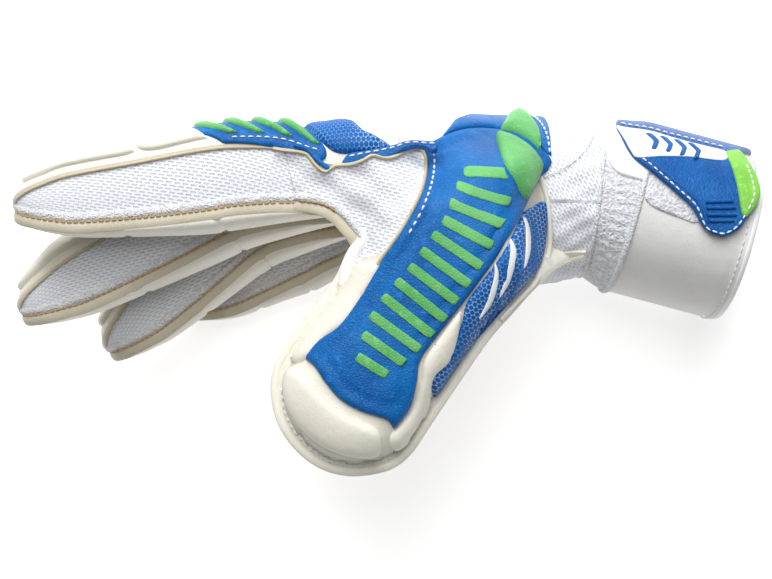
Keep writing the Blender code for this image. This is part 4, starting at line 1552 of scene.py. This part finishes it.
def build_finger_back(finger):
    """The blue piece with green ribs over a finger's first joint."""
    back = Surface(finger.back, 1.0)
    base, tip, _ = finger_zones(finger)
    low, high = 4.0, finger.first + 8.0
    wide = HALF_ARC * 0.96
    line = outline([(low - 1.0, -wide), (low + 8.0, 0.0), (low - 1.0, wide)],
                   [(high - 13.0, wide), (high + 2.0, 0.0), (high - 13.0, -wide)])
    for part, zone in (("base", base), ("tip", tip)):
        piece = patch(f"{finger.name}_{part}_blue_rib", back, line, "blue_latex", zone, rise=1.2,
                      edge=1.4, lip=0.4, cell=1.5)
        if finger.name == "index" and part == "base":
            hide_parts("index_ribbed_pad")
        for side, word in ((1.0, "upper"), (-1.0, "lower")):
            along = np.arange(low + 1, high - 13, 0.8)
            run = np.column_stack([along, np.full(len(along), side * wide * 0.88)])
            stitches(f"{finger.name}_{part}_rib_stitches_{word}", back, run, "white_thread", zone,
                     lift=1.4, pitch=2.8, thick=0.6)
    for i in range(RIB_COUNT):
        top = high - 9.0 - i * RIB_PITCH
        for side, letter in ((1.0, "u"), (-1.0, "l")):
            rib = curve([(top + 3.5, 0.0), (top + 1.6, side * 7.0), (top - 3.4, side * 13.0),
                         (top - 7.4, side * 16.6)])
            share = np.linspace(0.0, 1.0, len(rib))[:, None]
            width = np.array((RIB_HALF_WIDTH, 0.0)) * (1.0 - 0.3 * share)
            blade = np.vstack([rib - width, (rib + width)[::-1]])
            for part, zone in (("base", base), ("tip", tip)):
                patch(f"{finger.name}_{part}_green_rib_{i + 1}_{letter}", back, blade,
                      "green_latex", zone, rise=1.7, edge=1.5, base=1.0, depth=0.6, cell=1.0)


# the index finger's knuckle pad, seen from above the thumb side, then on the finger's back
KNUCKLE_LOW = [(-24.8, 53.2), (-21.9, 50.4), (-18.9, 47.8), (-15.0, 46.6), (-8.2, 47.0),
               (-2.3, 47.8)]
KNUCKLE_HIGH = [(2.6, 48.6), (-1.1, 51.3), (-4.7, 53.6), (-8.4, 55.4)]
KNUCKLE_BACK = [(-4.0, -3.0), (5.0, -6.0), (10.0, 1.0)]


def build_index_knuckle(finger):
    """The honeycomb pad over the index finger's knuckle."""
    back = Surface(finger.back, 1.0)
    base = finger_zones(finger)[0]
    low, high = (locate(back, points, (-32.0, 14.0), (0.0, HALF_ARC))
                 for points in (KNUCKLE_LOW, KNUCKLE_HIGH))
    pad = outline(low, high + KNUCKLE_BACK)
    piece = patch("index_knuckle_pad", back, pad, "hexagon_latex", base, rise=3.0, edge=6.0,
                  depth=2.0, cell=1.3)


# ------------------------------------------------------------------ light and camera


FLOOR_HALF = 3.0                      # metres
# name, place in metres, size in metres, power in watts
LIGHTS = (("key", (-0.15, 1.0, 0.95), 0.9, 18.5), ("top", (0.0, 0.4, 1.25), 0.5, 5.0))
LENS = 96.2
CAMERA_PLACE = (-0.0023, 0.0003, 0.81)


def make_studio():
    """Pale floor, white surround, a large soft key and the camera."""
    world = bpy.data.worlds.new("surround")
    bpy.context.scene.world = world
    world.use_nodes = True
    world.node_tree.nodes["Background"].inputs[0].default_value = (1.0, 1.0, 1.0, 1.0)
    world.node_tree.nodes["Background"].inputs[1].default_value = 0.18
    bpy.context.scene.view_settings.view_transform = "Standard"
    mesh = bpy.data.meshes.new("floor")
    corners = [(x * FLOOR_HALF, y * FLOOR_HALF, 0) for x, y in ((-1, -1), (1, -1), (1, 1), (-1, 1))]
    mesh.from_pydata(corners, [], [(0, 1, 2, 3)])
    floor = bpy.data.objects.new("floor", mesh)
    bpy.context.collection.objects.link(floor)
    paper = bpy.data.materials.new("paper")
    paper.use_nodes = True
    shader = paper.node_tree.nodes["Principled BSDF"]
    shader.inputs["Base Color"].default_value = (0.95, 0.95, 0.95, 1.0)
    shader.inputs["Roughness"].default_value = 0.9
    shader.inputs["Specular IOR Level"].default_value = 0.1
    shader.inputs["Emission Color"].default_value = (1.0, 1.0, 1.0, 1.0)
    shader.inputs["Emission Strength"].default_value = 0.55
    mesh.materials.append(paper)
    for name, place, size, power in LIGHTS:
        data = bpy.data.lights.new(name, "AREA")
        data.size = size
        data.energy = power
        light = bpy.data.objects.new(name, data)
        light.location = place
        light.rotation_euler = Vector(place).to_track_quat("Z", "Y").to_euler()
        bpy.context.collection.objects.link(light)
    camera_data = bpy.data.cameras.new("camera")
    camera_data.lens = LENS
    camera = bpy.data.objects.new("camera", camera_data)
    camera.location = CAMERA_PLACE
    bpy.context.collection.objects.link(camera)
    bpy.context.scene.camera = camera


make_looks()
for finger_name in FINGERS:
    finger = build_finger(finger_name)
    build_finger_back(finger)
    if finger_name == "index":
        build_index_knuckle(finger)
        build_web(finger)
build_thumb()
build_side_panel()
build_bars()
build_side_stitches()
build_hand_back()
build_hand_palm()
build_wrist()
build_cuff()
build_strap()
make_studio()
